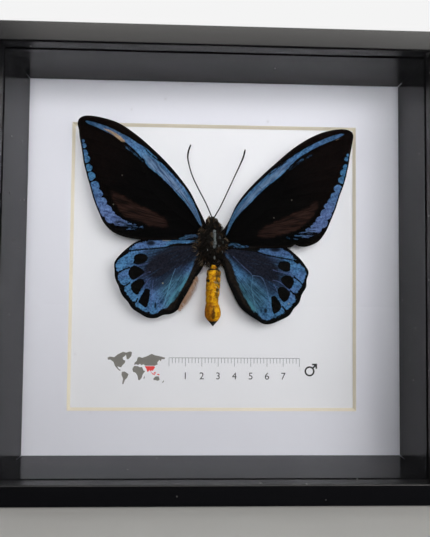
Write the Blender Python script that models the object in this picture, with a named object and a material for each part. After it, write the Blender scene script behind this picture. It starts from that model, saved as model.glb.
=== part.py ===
"""Framed butterfly specimen: a spread butterfly in a deep, glazed box frame.

Metres, +Z up. The frame stands on its bottom rail and looks towards -Y.
Places inside the frame are given in millimetres from its centre: x to the right, z upwards,
and y backwards from the middle of its depth.
"""

import math

import bmesh
import bpy

MM = 0.001
GAP = 0.3                      # clearance between neighbouring pieces

# The box frame, from its front face backwards.
SIDE = 250.0
DEPTH = 45.0
HALF = SIDE / 2
FRONT = -DEPTH / 2
LIP_WIDTH = 11.0
LIP_THICK = 5.5
WALL_THICK = 8.0
EDGE_RADIUS = 0.8
POCKET = HALF - WALL_THICK - GAP     # half width of every sheet inside the rails
MITRE_SETBACK = GAP / 2 * math.sqrt(2)

# The sheets and strips behind the lip, front to back.
GLASS_Y = FRONT + LIP_THICK + GAP
GLASS_THICK = 1.8
LINER_Y = GLASS_Y + GLASS_THICK + GAP
MAT_Y = FRONT + 36.5
MAT_THICK = 1.5
MAT_OPENING = 87.6             # half width of the opening at the mat's front face
MAT_SHIFT = -0.3               # the opening sits a little left of the centre
CARD_Y = MAT_Y + MAT_THICK + GAP
CARD_THICK = 1.0
BOARD_Y = CARD_Y + CARD_THICK + GAP
BOARD_THICK = 3.0

# Steel points that hold the board in, two on each side.
TAB_Y = BOARD_Y + BOARD_THICK + GAP
TAB_THICK = 0.5
TAB_WIDTH = 8.0
TAB_REACH = 12.0
TAB_OFFSET = 62.0

# The butterfly.
WING_THICK = 0.4
FOREWING_Y = 6.3
HINDWING_Y = 7.2
THORAX_CENTRE = (-2.1, 6.9, 12.9)
THORAX_HALF = (6.8, 5.2, 10.8)
HEAD_CENTRE = (-2.0, 6.4, 26.7)
HEAD_HALF = (3.4, 3.0, 2.6)
PAD_RADIUS = 4.0
ANTENNA_RADIUS = 0.28

# Abdomen stations: height, centre x, half width, centre y, half depth.
ABDOMEN = (
    (1.4, -1.4, 2.0, 7.6, 1.9),
    (0.2, -1.1, 3.2, 7.7, 2.9),
    (-3.5, -0.6, 3.8, 7.8, 3.5),
    (-9.0, -0.8, 4.0, 8.0, 3.8),
    (-15.0, -1.0, 3.9, 8.2, 3.8),
    (-21.5, -1.3, 3.5, 8.4, 3.5),
    (-25.0, -1.1, 4.1, 8.5, 3.8),
    (-28.0, -0.9, 4.6, 8.6, 4.1),
    (-31.0, -0.9, 3.9, 8.7, 3.5),
    (-33.3, -0.9, 2.4, 8.8, 2.3),
    (-35.8, -0.9, 0.7, 8.9, 0.7),
)

# Wing outlines, each from the shoulder out along the leading edge, round the outer
# margin and back along the trailing edge.
FOREWING_LEFT = (
    (-4.0, 20.0), (-8.0, 28.0), (-16.0, 43.5), (-29.3, 60.2), (-47.0, 76.5), (-57.5, 83.6),
    (-67.2, 87.1), (-76.2, 88.5), (-80.8, 87.0), (-81.9, 83.8), (-80.4, 75.0), (-77.8, 61.5),
    (-73.8, 47.0), (-68.6, 32.0), (-65.0, 25.2), (-60.0, 20.3), (-54.0, 17.8), (-46.0, 16.4),
    (-30.0, 15.6), (-12.0, 15.6), (-4.0, 15.0),
)
FOREWING_RIGHT = (
    (0.5, 18.0), (4.9, 22.0), (8.2, 28.5), (12.4, 37.0), (27.6, 54.0), (45.4, 70.0),
    (54.1, 76.0), (62.8, 80.4), (71.5, 82.8), (78.5, 83.2), (82.0, 81.0), (81.6, 75.5),
    (79.7, 63.1), (76.8, 50.4), (72.1, 36.3), (65.9, 21.8), (61.3, 15.9), (55.4, 13.2),
    (48.0, 13.4), (30.0, 11.6), (10.0, 11.4), (1.0, 11.0),
)
HINDWING_LEFT = (
    (-5.0, 14.0), (-14.0, 18.0), (-30.0, 18.6), (-42.0, 16.6), (-50.4, 9.8), (-56.4, 4.6),
    (-59.2, 0.6), (-58.6, -7.6), (-56.2, -13.6), (-50.8, -22.0), (-45.0, -28.2),
    (-38.0, -31.2), (-30.5, -29.8), (-23.6, -27.4), (-19.8, -21.8), (-12.0, -8.3),
    (-7.0, 0.5), (-5.0, 6.0),
)
HINDWING_RIGHT = (
    (2.0, 9.0), (12.0, 13.6), (28.0, 15.4), (40.0, 13.0), (46.5, 6.9), (52.0, 1.6),
    (55.4, -3.2), (54.5, -11.8), (50.6, -20.4), (44.6, -28.6), (38.8, -31.8), (31.2, -34.2),
    (24.0, -30.6), (15.6, -23.8), (9.6, -13.4), (6.4, -3.4), (3.4, 3.0),
)

# Antennae: x, y, z along each, from the head outwards.
ANTENNA_LEFT = (
    (-3.3, 5.6, 29.4), (-6.0, 5.2, 37.0), (-10.4, 5.2, 45.6), (-14.0, 5.4, 53.2),
    (-16.2, 5.6, 61.0), (-16.5, 5.8, 67.4), (-15.2, 5.8, 71.8),
)
ANTENNA_RIGHT = (
    (-0.7, 5.6, 29.4), (3.1, 5.2, 35.4), (7.1, 5.2, 43.8), (10.9, 5.4, 52.2),
    (14.3, 5.6, 59.9), (16.6, 5.8, 65.4), (17.4, 5.8, 69.6),
)


def clear_scene():
    for old in list(bpy.data.objects):
        bpy.data.objects.remove(old, do_unlink=True)


def material(name, colour, roughness, metallic=0.0):
    made = bpy.data.materials.new(name)
    made.use_nodes = True
    shader = made.node_tree.nodes["Principled BSDF"]
    shader.inputs["Base Color"].default_value = (*colour, 1.0)
    shader.inputs["Roughness"].default_value = roughness
    shader.inputs["Metallic"].default_value = metallic
    made.diffuse_color = (*colour, 1.0)
    return made


def place(x, y, z):
    """Millimetres from the frame's centre, as metres above the surface it stands on."""
    return (x * MM, y * MM, (z + HALF) * MM)


def add_object(name, verts, faces, finish, smooth=False):
    mesh = bpy.data.meshes.new(name)
    mesh.from_pydata([place(*v) for v in verts], [], faces)
    build = bmesh.new()
    build.from_mesh(mesh)
    bmesh.ops.recalc_face_normals(build, faces=build.faces)
    build.to_mesh(mesh)
    build.free()
    if smooth:
        mesh.shade_smooth()
        mesh.set_sharp_from_angle(angle=math.radians(40))
    mesh.materials.append(finish)
    made = bpy.data.objects.new(name, mesh)
    bpy.context.collection.objects.link(made)
    return made


def loft(name, rings, finish, smooth=True):
    """A closed body through rings that all have the same number of points."""
    size = len(rings[0])
    verts = [point for ring in rings for point in ring]
    faces = [tuple(range(size)), tuple(range((len(rings) - 1) * size, len(rings) * size))]
    for row in range(len(rings) - 1):
        for i in range(size):
            j = (i + 1) % size
            a = row * size
            faces.append((a + i, a + j, a + size + j, a + size + i))
    return add_object(name, verts, faces, finish, smooth)


def turned(x, z, quarter):
    """A point of the top side, turned to one of the four sides."""
    for _ in range(quarter):
        x, z = z, -x
    return x, z


def strip(name, profile, quarter, finish):
    """One side of a square frame, mitred: profile points are (inward, y)."""
    rings = []
    for end in (-1, 1):
        ring = []
        for inward, y in profile:
            reach = HALF - inward - MITRE_SETBACK
            x, z = turned(end * reach, HALF - inward, quarter)
            ring.append((x, y, z))
        rings.append(ring)
    return loft(name, rings, finish, smooth=False)


def round_corner(corner, along, towards, radius, steps=4):
    """Points of a quarter round that replaces a square corner of a profile."""
    (cx, cy), (ax, ay), (bx, by) = corner, along, towards
    points = []
    for i in range(steps + 1):
        turn = math.pi / 2 * i / steps
        back = radius * (1 - math.sin(turn))
        off = radius * (1 - math.cos(turn))
        points.append((cx + ax * back + bx * off, cy + ay * back + by * off))
    return points


def rail_profile():
    outer = round_corner((0.0, FRONT), (0, 1), (1, 0), EDGE_RADIUS)
    inner = round_corner((LIP_WIDTH, FRONT), (-1, 0), (0, 1), EDGE_RADIUS)
    return outer + inner + [
        (LIP_WIDTH, FRONT + LIP_THICK),
        (WALL_THICK, FRONT + LIP_THICK),
        (WALL_THICK, DEPTH / 2),
        (0.0, DEPTH / 2),
    ]


def liner_profile():
    back = MAT_Y - GAP
    outer = WALL_THICK + GAP
    return [(outer, LINER_Y), (LIP_WIDTH, LINER_Y), (LIP_WIDTH, back), (outer, back)]


def sheet(name, y, thick, finish):
    """A square sheet that fills the pocket behind the lip."""
    rings = []
    for depth in (y, y + thick):
        ring = [(sx * POCKET, depth, sz * POCKET) for sx, sz in ((-1, -1), (1, -1), (1, 1), (-1, 1))]
        rings.append(ring)
    return loft(name, rings, finish, smooth=False)


def mat_board(finish):
    """The mat: its window is cut at 45 degrees, wide at the front and narrow at the back."""
    corners = ((-1, -1), (1, -1), (1, 1), (-1, 1))
    narrow = MAT_OPENING - MAT_THICK
    back = MAT_Y + MAT_THICK
    loops = (
        [(sx * POCKET, MAT_Y, sz * POCKET) for sx, sz in corners],
        [(sx * MAT_OPENING + MAT_SHIFT, MAT_Y, sz * MAT_OPENING) for sx, sz in corners],
        [(sx * narrow + MAT_SHIFT, back, sz * narrow) for sx, sz in corners],
        [(sx * POCKET, back, sz * POCKET) for sx, sz in corners],
    )
    verts = [point for loop in loops for point in loop]
    faces = []
    for a in range(4):
        b = (a + 1) % 4
        for i in range(4):
            j = (i + 1) % 4
            faces.append((a * 4 + i, a * 4 + j, b * 4 + j, b * 4 + i))
    return add_object("mat_board", verts, faces, finish)


def tab(name, quarter, offset, finish):
    """A flat steel point with a rounded tip, reaching in over the board."""
    radius = TAB_WIDTH / 2
    start = WALL_THICK + GAP
    outline = [(offset - radius, start)]
    for i in range(9):
        turn = math.pi * i / 8
        outline.append((
            offset - radius * math.cos(turn),
            start + TAB_REACH - radius + radius * math.sin(turn),
        ))
    outline.append((offset + radius, start))
    rings = []
    for y in (TAB_Y, TAB_Y + TAB_THICK):
        ring = []
        for along, inward in outline:
            x, z = turned(along, HALF - inward, quarter)
            ring.append((x, y, z))
        rings.append(ring)
    return loft(name, rings, finish, smooth=False)


def smooth_path(points, steps, closed):
    """A Catmull-Rom curve through the points, in as many dimensions as they have."""
    count = len(points)
    spans = count if closed else count - 1
    out = []
    for s in range(spans):
        if closed:
            p0, p1, p2, p3 = (points[(s + k) % count] for k in (-1, 0, 1, 2))
        else:
            p0, p1, p2, p3 = (points[min(max(s + k, 0), count - 1)] for k in (-1, 0, 1, 2))
        for i in range(steps):
            t = i / steps
            out.append(tuple(
                0.5 * (2 * b + (c - a) * t + (2 * a - 5 * b + 4 * c - d) * t ** 2
                       + (3 * b - a - 3 * c + d) * t ** 3)
                for a, b, c, d in zip(p0, p1, p2, p3)
            ))
    if not closed:
        out.append(tuple(points[-1]))
    return out


def ellipsoid(name, centre, half, finish, grow=0.0, rows=12, around=24):
    """A closed ellipsoid, with single points at its top and bottom."""
    cx, cy, cz = centre
    hx, hy, hz = (h + grow for h in half)
    verts = [(cx, cy, cz + hz)]
    for row in range(1, rows):
        down = math.pi * row / rows
        for i in range(around):
            turn = 2 * math.pi * i / around
            verts.append((
                cx + hx * math.sin(down) * math.cos(turn),
                cy + hy * math.sin(down) * math.sin(turn),
                cz + hz * math.cos(down),
            ))
    verts.append((cx, cy, cz - hz))
    last = len(verts) - 1
    faces = []
    for i in range(around):
        j = (i + 1) % around
        faces.append((0, 1 + i, 1 + j))
        faces.append((last, last - around + j, last - around + i))
        for row in range(rows - 2):
            a = 1 + row * around
            faces.append((a + i, a + around + i, a + around + j, a + j))
    return add_object(name, verts, faces, finish, smooth=True)


def abdomen(finish, around=20):
    rings = []
    for z, cx, half_width, cy, half_depth in ABDOMEN:
        ring = []
        for i in range(around):
            turn = 2 * math.pi * i / around
            ring.append((cx + half_width * math.cos(turn), cy + half_depth * math.sin(turn), z))
        rings.append(ring)
    return loft("abdomen", rings, finish)


def wing(name, outline, y, finish, thorax_room):
    """A thin plate of the wing's outline, cut clear of the thorax."""
    edge = smooth_path(outline, 4, closed=True)
    rings = [[(x, depth, z) for x, z in edge] for depth in (y, y + WING_THICK)]
    made = loft(name, rings, finish, smooth=False)
    cut = made.modifiers.new("root", "BOOLEAN")
    cut.operation = "DIFFERENCE"
    cut.solver = "EXACT"
    cut.object = thorax_room
    return made


def antenna(name, points, finish):
    curve = bpy.data.curves.new(name, "CURVE")
    curve.dimensions = "3D"
    curve.bevel_depth = ANTENNA_RADIUS * MM
    curve.bevel_resolution = 2
    curve.use_fill_caps = True
    path = smooth_path(points, 4, closed=False)
    spline = curve.splines.new("POLY")
    spline.points.add(len(path) - 1)
    for slot, point in zip(spline.points, path):
        slot.co = (*place(*point), 1.0)
    curve.materials.append(finish)
    made = bpy.data.objects.new(name, curve)
    bpy.context.collection.objects.link(made)
    return made


def pad(finish, around=20):
    """The small foam pad between the thorax and the card."""
    x, _, z = THORAX_CENTRE
    near = THORAX_CENTRE[1] + THORAX_HALF[1] + GAP
    rings = []
    for y in (near, CARD_Y - GAP):
        ring = []
        for i in range(around):
            turn = 2 * math.pi * i / around
            ring.append((x + PAD_RADIUS * math.cos(turn), y, z + PAD_RADIUS * math.sin(turn)))
        rings.append(ring)
    return loft("pad", rings, finish, smooth=True)


def build_frame():
    sides = ("top", "right", "bottom", "left")
    for quarter, side in enumerate(sides):
        black = material(f"rail_{side}", (0.012, 0.012, 0.013), 0.35)
        strip(f"rail_{side}", rail_profile(), quarter, black)
    for quarter, side in enumerate(sides):
        dark = material(f"liner_{side}", (0.016, 0.016, 0.018), 0.4)
        strip(f"liner_{side}", liner_profile(), quarter, dark)
    sheet("glass_pane", GLASS_Y, GLASS_THICK, material("glass_pane", (0.9, 0.93, 0.92), 0.05))
    mat_board(material("mat_board", (0.72, 0.72, 0.73), 0.9))
    sheet("backing_card", CARD_Y, CARD_THICK, material("backing_card", (0.82, 0.82, 0.84), 0.9))
    sheet("back_board", BOARD_Y, BOARD_THICK, material("back_board", (0.26, 0.16, 0.09), 0.8))
    for quarter, side in enumerate(sides):
        for end, offset in (("a", -TAB_OFFSET), ("b", TAB_OFFSET)):
            steel = material(f"tab_{side}_{end}", (0.55, 0.55, 0.56), 0.35, 1.0)
            tab(f"tab_{side}_{end}", quarter, offset, steel)


def build_butterfly():
    room = ellipsoid("thorax_room", THORAX_CENTRE, THORAX_HALF, material("room", (1, 0, 0), 1), GAP)
    room.hide_render = True
    room.display_type = "WIRE"
    wings = (
        ("forewing_left", FOREWING_LEFT, FOREWING_Y),
        ("forewing_right", FOREWING_RIGHT, FOREWING_Y),
        ("hindwing_left", HINDWING_LEFT, HINDWING_Y),
        ("hindwing_right", HINDWING_RIGHT, HINDWING_Y),
    )
    for name, outline, y in wings:
        wing(name, outline, y, material(name, (0.03, 0.09, 0.2), 0.5), room)
    ellipsoid("thorax", THORAX_CENTRE, THORAX_HALF, material("thorax", (0.02, 0.017, 0.015), 0.9))
    ellipsoid("head", HEAD_CENTRE, HEAD_HALF, material("head", (0.02, 0.018, 0.016), 0.7), rows=8, around=16)
    abdomen(material("abdomen", (0.75, 0.42, 0.03), 0.6))
    antenna("antenna_left", ANTENNA_LEFT, material("antenna_left", (0.03, 0.027, 0.025), 0.6))
    antenna("antenna_right", ANTENNA_RIGHT, material("antenna_right", (0.03, 0.027, 0.025), 0.6))
    pad(material("pad", (0.8, 0.8, 0.78), 0.9))


def main():
    clear_scene()
    build_frame()
    build_butterfly()


main()
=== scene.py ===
# %% [markdown]
# # A spread butterfly in a deep box frame
# This lesson finishes a glazed box frame that holds one large black and blue butterfly.
# The construction, with every rail, sheet and wing at its real size, is loaded first and
# stays where it is. The lesson then adds what the eye looks for: satin foil on the rails,
# paper and its cut edge, clear glass, wing scales, fur, and a printed label.
#
# Start by loading the frame and keeping its box. A finish must not change the size of the
# object.

# %% Load the frame
import math

import bpy
import numpy as np
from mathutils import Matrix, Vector
from mathutils.geometry import delaunay_2d_cdt


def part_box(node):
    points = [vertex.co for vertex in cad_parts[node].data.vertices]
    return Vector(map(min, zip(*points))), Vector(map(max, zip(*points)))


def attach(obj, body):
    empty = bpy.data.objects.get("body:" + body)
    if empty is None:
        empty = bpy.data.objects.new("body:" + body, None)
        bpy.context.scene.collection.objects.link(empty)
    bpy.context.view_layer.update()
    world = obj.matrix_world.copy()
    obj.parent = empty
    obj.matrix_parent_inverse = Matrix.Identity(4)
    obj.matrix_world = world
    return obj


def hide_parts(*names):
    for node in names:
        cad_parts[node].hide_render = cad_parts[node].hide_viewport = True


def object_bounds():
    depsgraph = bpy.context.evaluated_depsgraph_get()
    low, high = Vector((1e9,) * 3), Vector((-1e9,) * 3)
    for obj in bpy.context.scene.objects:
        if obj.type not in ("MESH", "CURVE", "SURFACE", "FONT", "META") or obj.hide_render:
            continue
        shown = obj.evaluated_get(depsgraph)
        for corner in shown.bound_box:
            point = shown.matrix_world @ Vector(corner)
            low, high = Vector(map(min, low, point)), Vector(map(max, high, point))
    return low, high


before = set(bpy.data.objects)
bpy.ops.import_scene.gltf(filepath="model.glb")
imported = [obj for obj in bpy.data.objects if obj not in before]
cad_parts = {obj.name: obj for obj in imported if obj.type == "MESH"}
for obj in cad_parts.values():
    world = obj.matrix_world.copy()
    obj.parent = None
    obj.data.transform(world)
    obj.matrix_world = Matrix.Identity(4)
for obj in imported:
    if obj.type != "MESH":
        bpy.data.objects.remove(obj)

cad_low, cad_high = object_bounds()
print("frame box in mm:", [round(v * 1000, 1) for v in cad_high - cad_low])

# %% [markdown]
# ## Places
# Everything inside a picture frame is laid out from the middle of its sheet, so that is how
# this lesson gives places: x to the right, y backwards, z upwards, in millimetres from the
# middle of the frame. The depths of the sheets are read from the frame itself, so the label
# lies on the card wherever the card is.

# %% Millimetres from the middle of the frame
MM = 0.001
MIDDLE = (cad_low + cad_high) / 2


def at(x, y, z):
    """Millimetres from the middle of the frame, as a place in the scene."""
    return Vector((x, y, z)) * MM + MIDDLE


def span(node):
    """The middle and the half sizes of a node, in millimetres from the middle of the frame."""
    low, high = ((np.array(corner) - np.array(MIDDLE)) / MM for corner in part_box(node))
    return (low + high) / 2, (high - low) / 2


CARD, CARD_HALF = span("backing_card")
CARD_FRONT = CARD[1] - CARD_HALF[1]
FOREWING_DEPTH = span("forewing_left")[0][1]
HINDWING_DEPTH = span("hindwing_left")[0][1]
RIM = (cad_high.x - cad_low.x) / 2 / MM
print("card at", round(CARD_FRONT, 2), "wings at", round(FOREWING_DEPTH, 2), round(HINDWING_DEPTH, 2))

# %% [markdown]
# ## The camera
# A box frame is shown from close by and a little left of its middle, so that the inner
# walls show their depth. A wide lens at that distance gives the strong convergence that a
# viewer sees when they bend over such a frame. Depth of field stays off.

# %% The camera
CAMERA_FROM_MIDDLE = (-5.44, -219.46, -16.12)
CAMERA_TURN = (91.718, -0.542, -1.442)
CAMERA_LENS = 25.57
CAMERA_SHIFT = 0.0238

camera_data = bpy.data.cameras.new("camera")
camera_data.sensor_width = 36.0
camera_data.lens = CAMERA_LENS
camera_data.shift_y = CAMERA_SHIFT
camera_data.clip_start = 0.005
camera = bpy.data.objects.new("camera", camera_data)
camera.location = at(*CAMERA_FROM_MIDDLE)
camera.rotation_euler = [math.radians(turn) for turn in CAMERA_TURN]
bpy.context.collection.objects.link(camera)
bpy.context.scene.camera = camera
bpy.context.scene.view_settings.view_transform = "Standard"
print("camera", [round(v, 4) for v in camera.location])

# %% [markdown]
# ## The light
# Glass is the difficulty here: whatever stands in front of it shows in it. So the lamps
# that light the box stay out of reflections, as crossed filters would keep them. A large
# panel at the right does most of the work and draws the soft shadows that lift the wings
# off the card. The key, higher up on the same side, sharpens those shadows a little. A low
# panel fills the box from in front. Two panels with narrow beams brighten parts of the
# sheet, one from above and one from its own height. The sixth lamp, a long strip high
# above, does the reverse: it only shows as the glow on the satin rails and other surfaces.

# %% Soft lamps
LAMPS = (
    # name, place and size in metres, power in watts, beam in degrees, tilt down in radians
    ("front", (-0.16, -0.549, 0.626), (0.8, 0.8), 0.5, 34.0, 0.28),
    ("level", (0.02, -1.1, 0.12), (0.5, 0.5), 0.42, 34.0, -0.15),
    ("low", (-0.06, -1.2, 0.10), (0.5, 0.5), 2.3, 180.0, None),
    ("right", (0.85, -1.0, 0.32), (0.9, 0.9), 10.0, 180.0, None),
    ("key", (0.45, -1.0, 0.60), (0.45, 0.45), 2.0, 180.0, None),
    ("strip", (0.60, -0.95, 1.22), (2.6, 0.45), 24.0, 180.0, 0.909),
)
STRIP_COLOUR = (1.0, 0.98, 0.94)


def soft_lamp(name, place, size, power, beam, tilt):
    """A panel that faces straight back but for its tilt; without one it faces the frame."""
    data = bpy.data.lights.new(name, "AREA")
    data.shape = "RECTANGLE"
    data.size, data.size_y = size
    data.energy = power
    data.spread = math.radians(beam)
    lamp = bpy.data.objects.new(name, data)
    lamp.location = place
    aim = MIDDLE - lamp.location
    if tilt is not None:
        aim = Vector((0.0, math.cos(tilt), -math.sin(tilt)))
    lamp.rotation_euler = aim.to_track_quat("-Z", "Y").to_euler()
    shown = name == "strip"
    lamp.visible_glossy = shown
    lamp.visible_transmission = shown
    lamp.visible_diffuse = not shown
    lamp.visible_camera = False
    bpy.context.collection.objects.link(lamp)
    return lamp


lamps = [soft_lamp(*row) for row in LAMPS]
lamps[-1].data.color = STRIP_COLOUR
print("lamps:", [lamp.name for lamp in lamps])

# %% [markdown]
# ## Wiring
# The finishes below are sums on colours and masks. A signal is what one socket of a shader
# carries. Adding, scaling or mixing signals makes the nodes that do so, in the same tree,
# so that a finish reads like the sum it is.

# %% Signals
class Signal:
    """What a socket carries: a number, a colour or a vector."""

    def __init__(self, socket):
        self.socket = socket
        self.tree = socket.id_data

    def __add__(self, other):
        return calc("ADD", self, other)

    def __sub__(self, other):
        return calc("SUBTRACT", self, other)

    def __rsub__(self, other):
        return calc("SUBTRACT", other, self)

    def __mul__(self, other):
        return calc("MULTIPLY", self, other)

    def __truediv__(self, other):
        return calc("DIVIDE", self, other)

    def clamped(self):
        """The same sum, kept between 0 and 1."""
        self.socket.node.use_clamp = True
        return self

    def rise(self, low, high):
        """0 below low, 1 above high, and a smooth rise between."""
        ends = {0: self, 1: low, 2: high}
        return add(self.tree, "ShaderNodeMapRange", ends, interpolation_type="SMOOTHSTEP")

    def stretched(self, *by):
        """A vector scaled by its own amount along each axis."""
        by = by if len(by) == 3 else by[0]
        return add(self.tree, "ShaderNodeVectorMath", {0: self, 1: by}, operation="MULTIPLY")

    def axis(self, name):
        """One part of a vector."""
        return add(self.tree, "ShaderNodeSeparateXYZ", {0: self}, name)

    def noise(self, scale, detail=3.0):
        """Soft noise from 0 to 1 that follows a vector."""
        return add(self.tree, "ShaderNodeTexNoise", {"Vector": self, "Scale": scale, "Detail": detail})

    def cells(self, scale, output="Distance", randomness=1.0):
        """Round cells along a vector: the distance to their middles, or a colour for each."""
        inputs = {"Vector": self, "Scale": scale, "Randomness": randomness}
        return add(self.tree, "ShaderNodeTexVoronoi", inputs, output)


# %% [markdown]
# Three functions make the nodes that signals stand for. The first makes a node of any kind,
# the second a sum on numbers, and the third a mix of two colours. The tree that a new node
# belongs to is the tree of the signals that go into it.

# %% Nodes, sums and mixes
def plug(value, socket):
    """Link a signal to a socket, or set the socket to a plain value."""
    if isinstance(value, Signal):
        socket.id_data.links.new(value.socket, socket)
    else:
        socket.default_value = value


def add(tree, kind, inputs=None, output=0, **settings):
    """A new node with its inputs and settings; returns what one of its outputs carries."""
    made = tree.nodes.new(kind)
    for name, value in settings.items():
        setattr(made, name, value)
    for name, value in (inputs or {}).items():
        plug(value, made.inputs[name])
    return Signal(made.outputs[output])


def tree_of(*parts):
    """The tree of the first signal among some signals and plain values."""
    return next(part.tree for part in parts if isinstance(part, Signal))


def calc(operation, a, b=0.0):
    """One sum on two numbers, of which at least one is a signal."""
    return add(tree_of(a, b), "ShaderNodeMath", {0: a, 1: b}, operation=operation)


def mix(amount, first, second):
    """Two colours mixed; a colour may be three numbers or a signal."""
    ends = [c if isinstance(c, Signal) else (*c, 1.0) for c in (first, second)]
    inputs = {0: amount, 6: ends[0], 7: ends[1]}
    return add(tree_of(amount, *ends), "ShaderNodeMix", inputs, 2, data_type="RGBA")


def shaded(amount, paint, low, high):
    """A paint mixed between two shares of itself."""
    return mix(amount, [low * c for c in paint], [high * c for c in paint])


print("a mix needs a signal and two colours")

# %% [markdown]
# Every finish has the same three parts: one Principled shader, a colour, and relief from a
# height, which the light then shows. Colours are given as on a colour chart.

# %% Shaders, relief and colours
def bump(height, strength, deep, invert=False):
    """Relief from a height; deep is its full depth in millimetres."""
    inputs = {"Strength": strength, "Distance": deep * MM, "Height": height}
    return add(height.tree, "ShaderNodeBump", inputs, invert=invert)


def feed(node, **inputs):
    """Plug signals or values into a node's inputs; underscores stand for spaces."""
    for name, value in inputs.items():
        plug(value, node.inputs[name.replace("_", " ")])


def colour(red, green, blue):
    """A colour read from a chart, 0 to 255, as the linear values that shaders use."""
    def linear(value):
        share = value / 255
        return share / 12.92 if share <= 0.04045 else ((share + 0.055) / 1.055) ** 2.4
    return linear(red), linear(green), linear(blue)


def new_finish(name, roughness=0.5, specular=0.5, **plain):
    """A material with one Principled shader; returns it, its shader and where a point is."""
    made = bpy.data.materials.new(name)
    made.use_nodes = True
    shader = made.node_tree.nodes["Principled BSDF"]
    feed(shader, Roughness=roughness, Specular_IOR_Level=specular, **plain)
    return made, shader, add(made.node_tree, "ShaderNodeTexCoord", output="Object")


print("middle grey is", [round(share, 3) for share in colour(128, 128, 128)])

# %% [markdown]
# ## The room
# The room is a pale surround. Seen directly it is nearly white, but what it sends into the
# glass depends on direction: it is dark straight in front of the frame and brighter all
# round, like a viewer in a dark coat in a bright room. The floor is plain and pale too where
# it is seen directly; in reflections and bounced light it is near black, as painted shade.

# %% The surround
SURROUND_SEEN = (0.905,) * 3
SURROUND_SIDES = (0.55,) * 3
SURROUND_FRONT = (0.012,) * 3

world = bpy.data.worlds.new("surround")
world.use_nodes = True
bpy.context.scene.world = world
sky = world.node_tree
direction = add(sky, "ShaderNodeTexCoord", output="Generated")
forward = {0: direction, 1: (0.0, -1.0, 0.0)}
ahead = add(sky, "ShaderNodeVectorMath", forward, "Value", operation="DOT_PRODUCT")
send = mix(ahead.rise(0.60, 0.76), SURROUND_SIDES, SURROUND_FRONT)
seen = add(sky, "ShaderNodeLightPath", output="Is Camera Ray")
feed(sky.nodes["Background"], Color=mix(seen, send, SURROUND_SEEN))
print("surround sends", SURROUND_SIDES[0], "from the sides and", SURROUND_FRONT[0], "from the front")

# %% The floor
FLOOR_HALF = 3.0
FLOOR_DROP = 0.0003
FLOOR_SHADE_IN_REFLECTIONS = (0.03, 0.03, 0.03)

floor_mesh = bpy.data.meshes.new("floor")
floor_z = cad_low.z - FLOOR_DROP
corners = [(x * FLOOR_HALF, y * FLOOR_HALF, floor_z) for x, y in ((-1, -1), (1, -1), (1, 1), (-1, 1))]
floor_mesh.from_pydata(corners, [], [(0, 1, 2, 3)])
floor = bpy.data.objects.new("floor", floor_mesh)
bpy.context.collection.objects.link(floor)
floor_paper, shader, here = new_finish("floor_paper", roughness=0.9, specular=0.0)
pale = mix(here.noise(9.0), (0.53, 0.515, 0.49), (0.60, 0.595, 0.57))
looked_at = add(here.tree, "ShaderNodeLightPath", output="Is Camera Ray")
# Painted shade: to every ray but the camera's the floor is near black, so it shows dark in the glass and the
# foil and bounces almost no light.
feed(shader, Base_Color=mix(looked_at, FLOOR_SHADE_IN_REFLECTIONS, pale))
floor_mesh.materials.append(floor_paper)
print("floor at", floor_z)

# %% [markdown]
# ## Shared effects
# Some marks turn up on many surfaces: a fine grain, a little dust, a painted highlight along
# an edge. Each is one node group, built once, with named inputs, so that every material can
# use it with its own values. A group puts out only masks, shades and heights; the shader
# itself stays in the material.

# %% Groups
def new_group(name, inputs, outputs):
    """An empty group laid along a vector; returns its tree, its inputs and its result node."""
    tree = bpy.data.node_groups.new(name, "ShaderNodeTree")
    for socket, value in {"Vector": (0.0, 0.0, 0.0), **inputs}.items():
        kind = "NodeSocketVector" if isinstance(value, tuple) else "NodeSocketFloat"
        tree.interface.new_socket(socket, in_out="INPUT", socket_type=kind).default_value = value
    for socket in outputs:
        tree.interface.new_socket(socket, in_out="OUTPUT", socket_type="NodeSocketFloat")
    given = {socket.name: Signal(socket) for socket in tree.nodes.new("NodeGroupInput").outputs}
    return tree, given, tree.nodes.new("NodeGroupOutput")


def use(vector, group, **inputs):
    """A group laid along a vector in a material; returns its outputs by name."""
    made = vector.tree.nodes.new("ShaderNodeGroup")
    made.node_tree = group
    feed(made, Vector=vector, **inputs)
    return {socket.name: Signal(socket) for socket in made.outputs}


# %% [markdown]
# Fine grain is two layers of noise, a coarse one for uneven colour and a fine one for the
# tooth of the surface. Stretch pulls it into fibres along one direction.

# %% Fine grain
def build_fine_grain():
    inputs = {"Stretch": (1.0, 1.0, 1.0), "Scale": 900.0}
    tree, given, result = new_group("fine_grain", inputs, ("Shade", "Height"))
    pulled = given["Vector"].stretched(given["Stretch"])
    coarse = pulled.noise(given["Scale"] * 0.04, 4.0)
    fine = pulled.noise(given["Scale"], 2.0)
    feed(result, Shade=coarse * 0.6 + fine * 0.4, Height=fine)
    return tree


FINE_GRAIN = build_fine_grain()
print("group:", FINE_GRAIN.name)


# %% [markdown]
# Dust is a scatter of tiny round specks. A Voronoi texture gives each cell one centre and
# one random colour, and the colour decides whether the cell holds a speck at all.

# %% Dust
def build_dust():
    tree, given, result = new_group("dust", {"Scale": 260.0, "Amount": 0.25}, ("Mask",))
    speck = 1.0 - given["Vector"].cells(given["Scale"]).rise(0.06, 0.13)
    pick = add(tree, "ShaderNodeSeparateColor", {0: given["Vector"].cells(given["Scale"], "Color")})
    feed(result, Mask=speck * calc("LESS_THAN", pick, given["Amount"]))
    return tree


DUST = build_dust()
print("group:", DUST.name)
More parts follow.
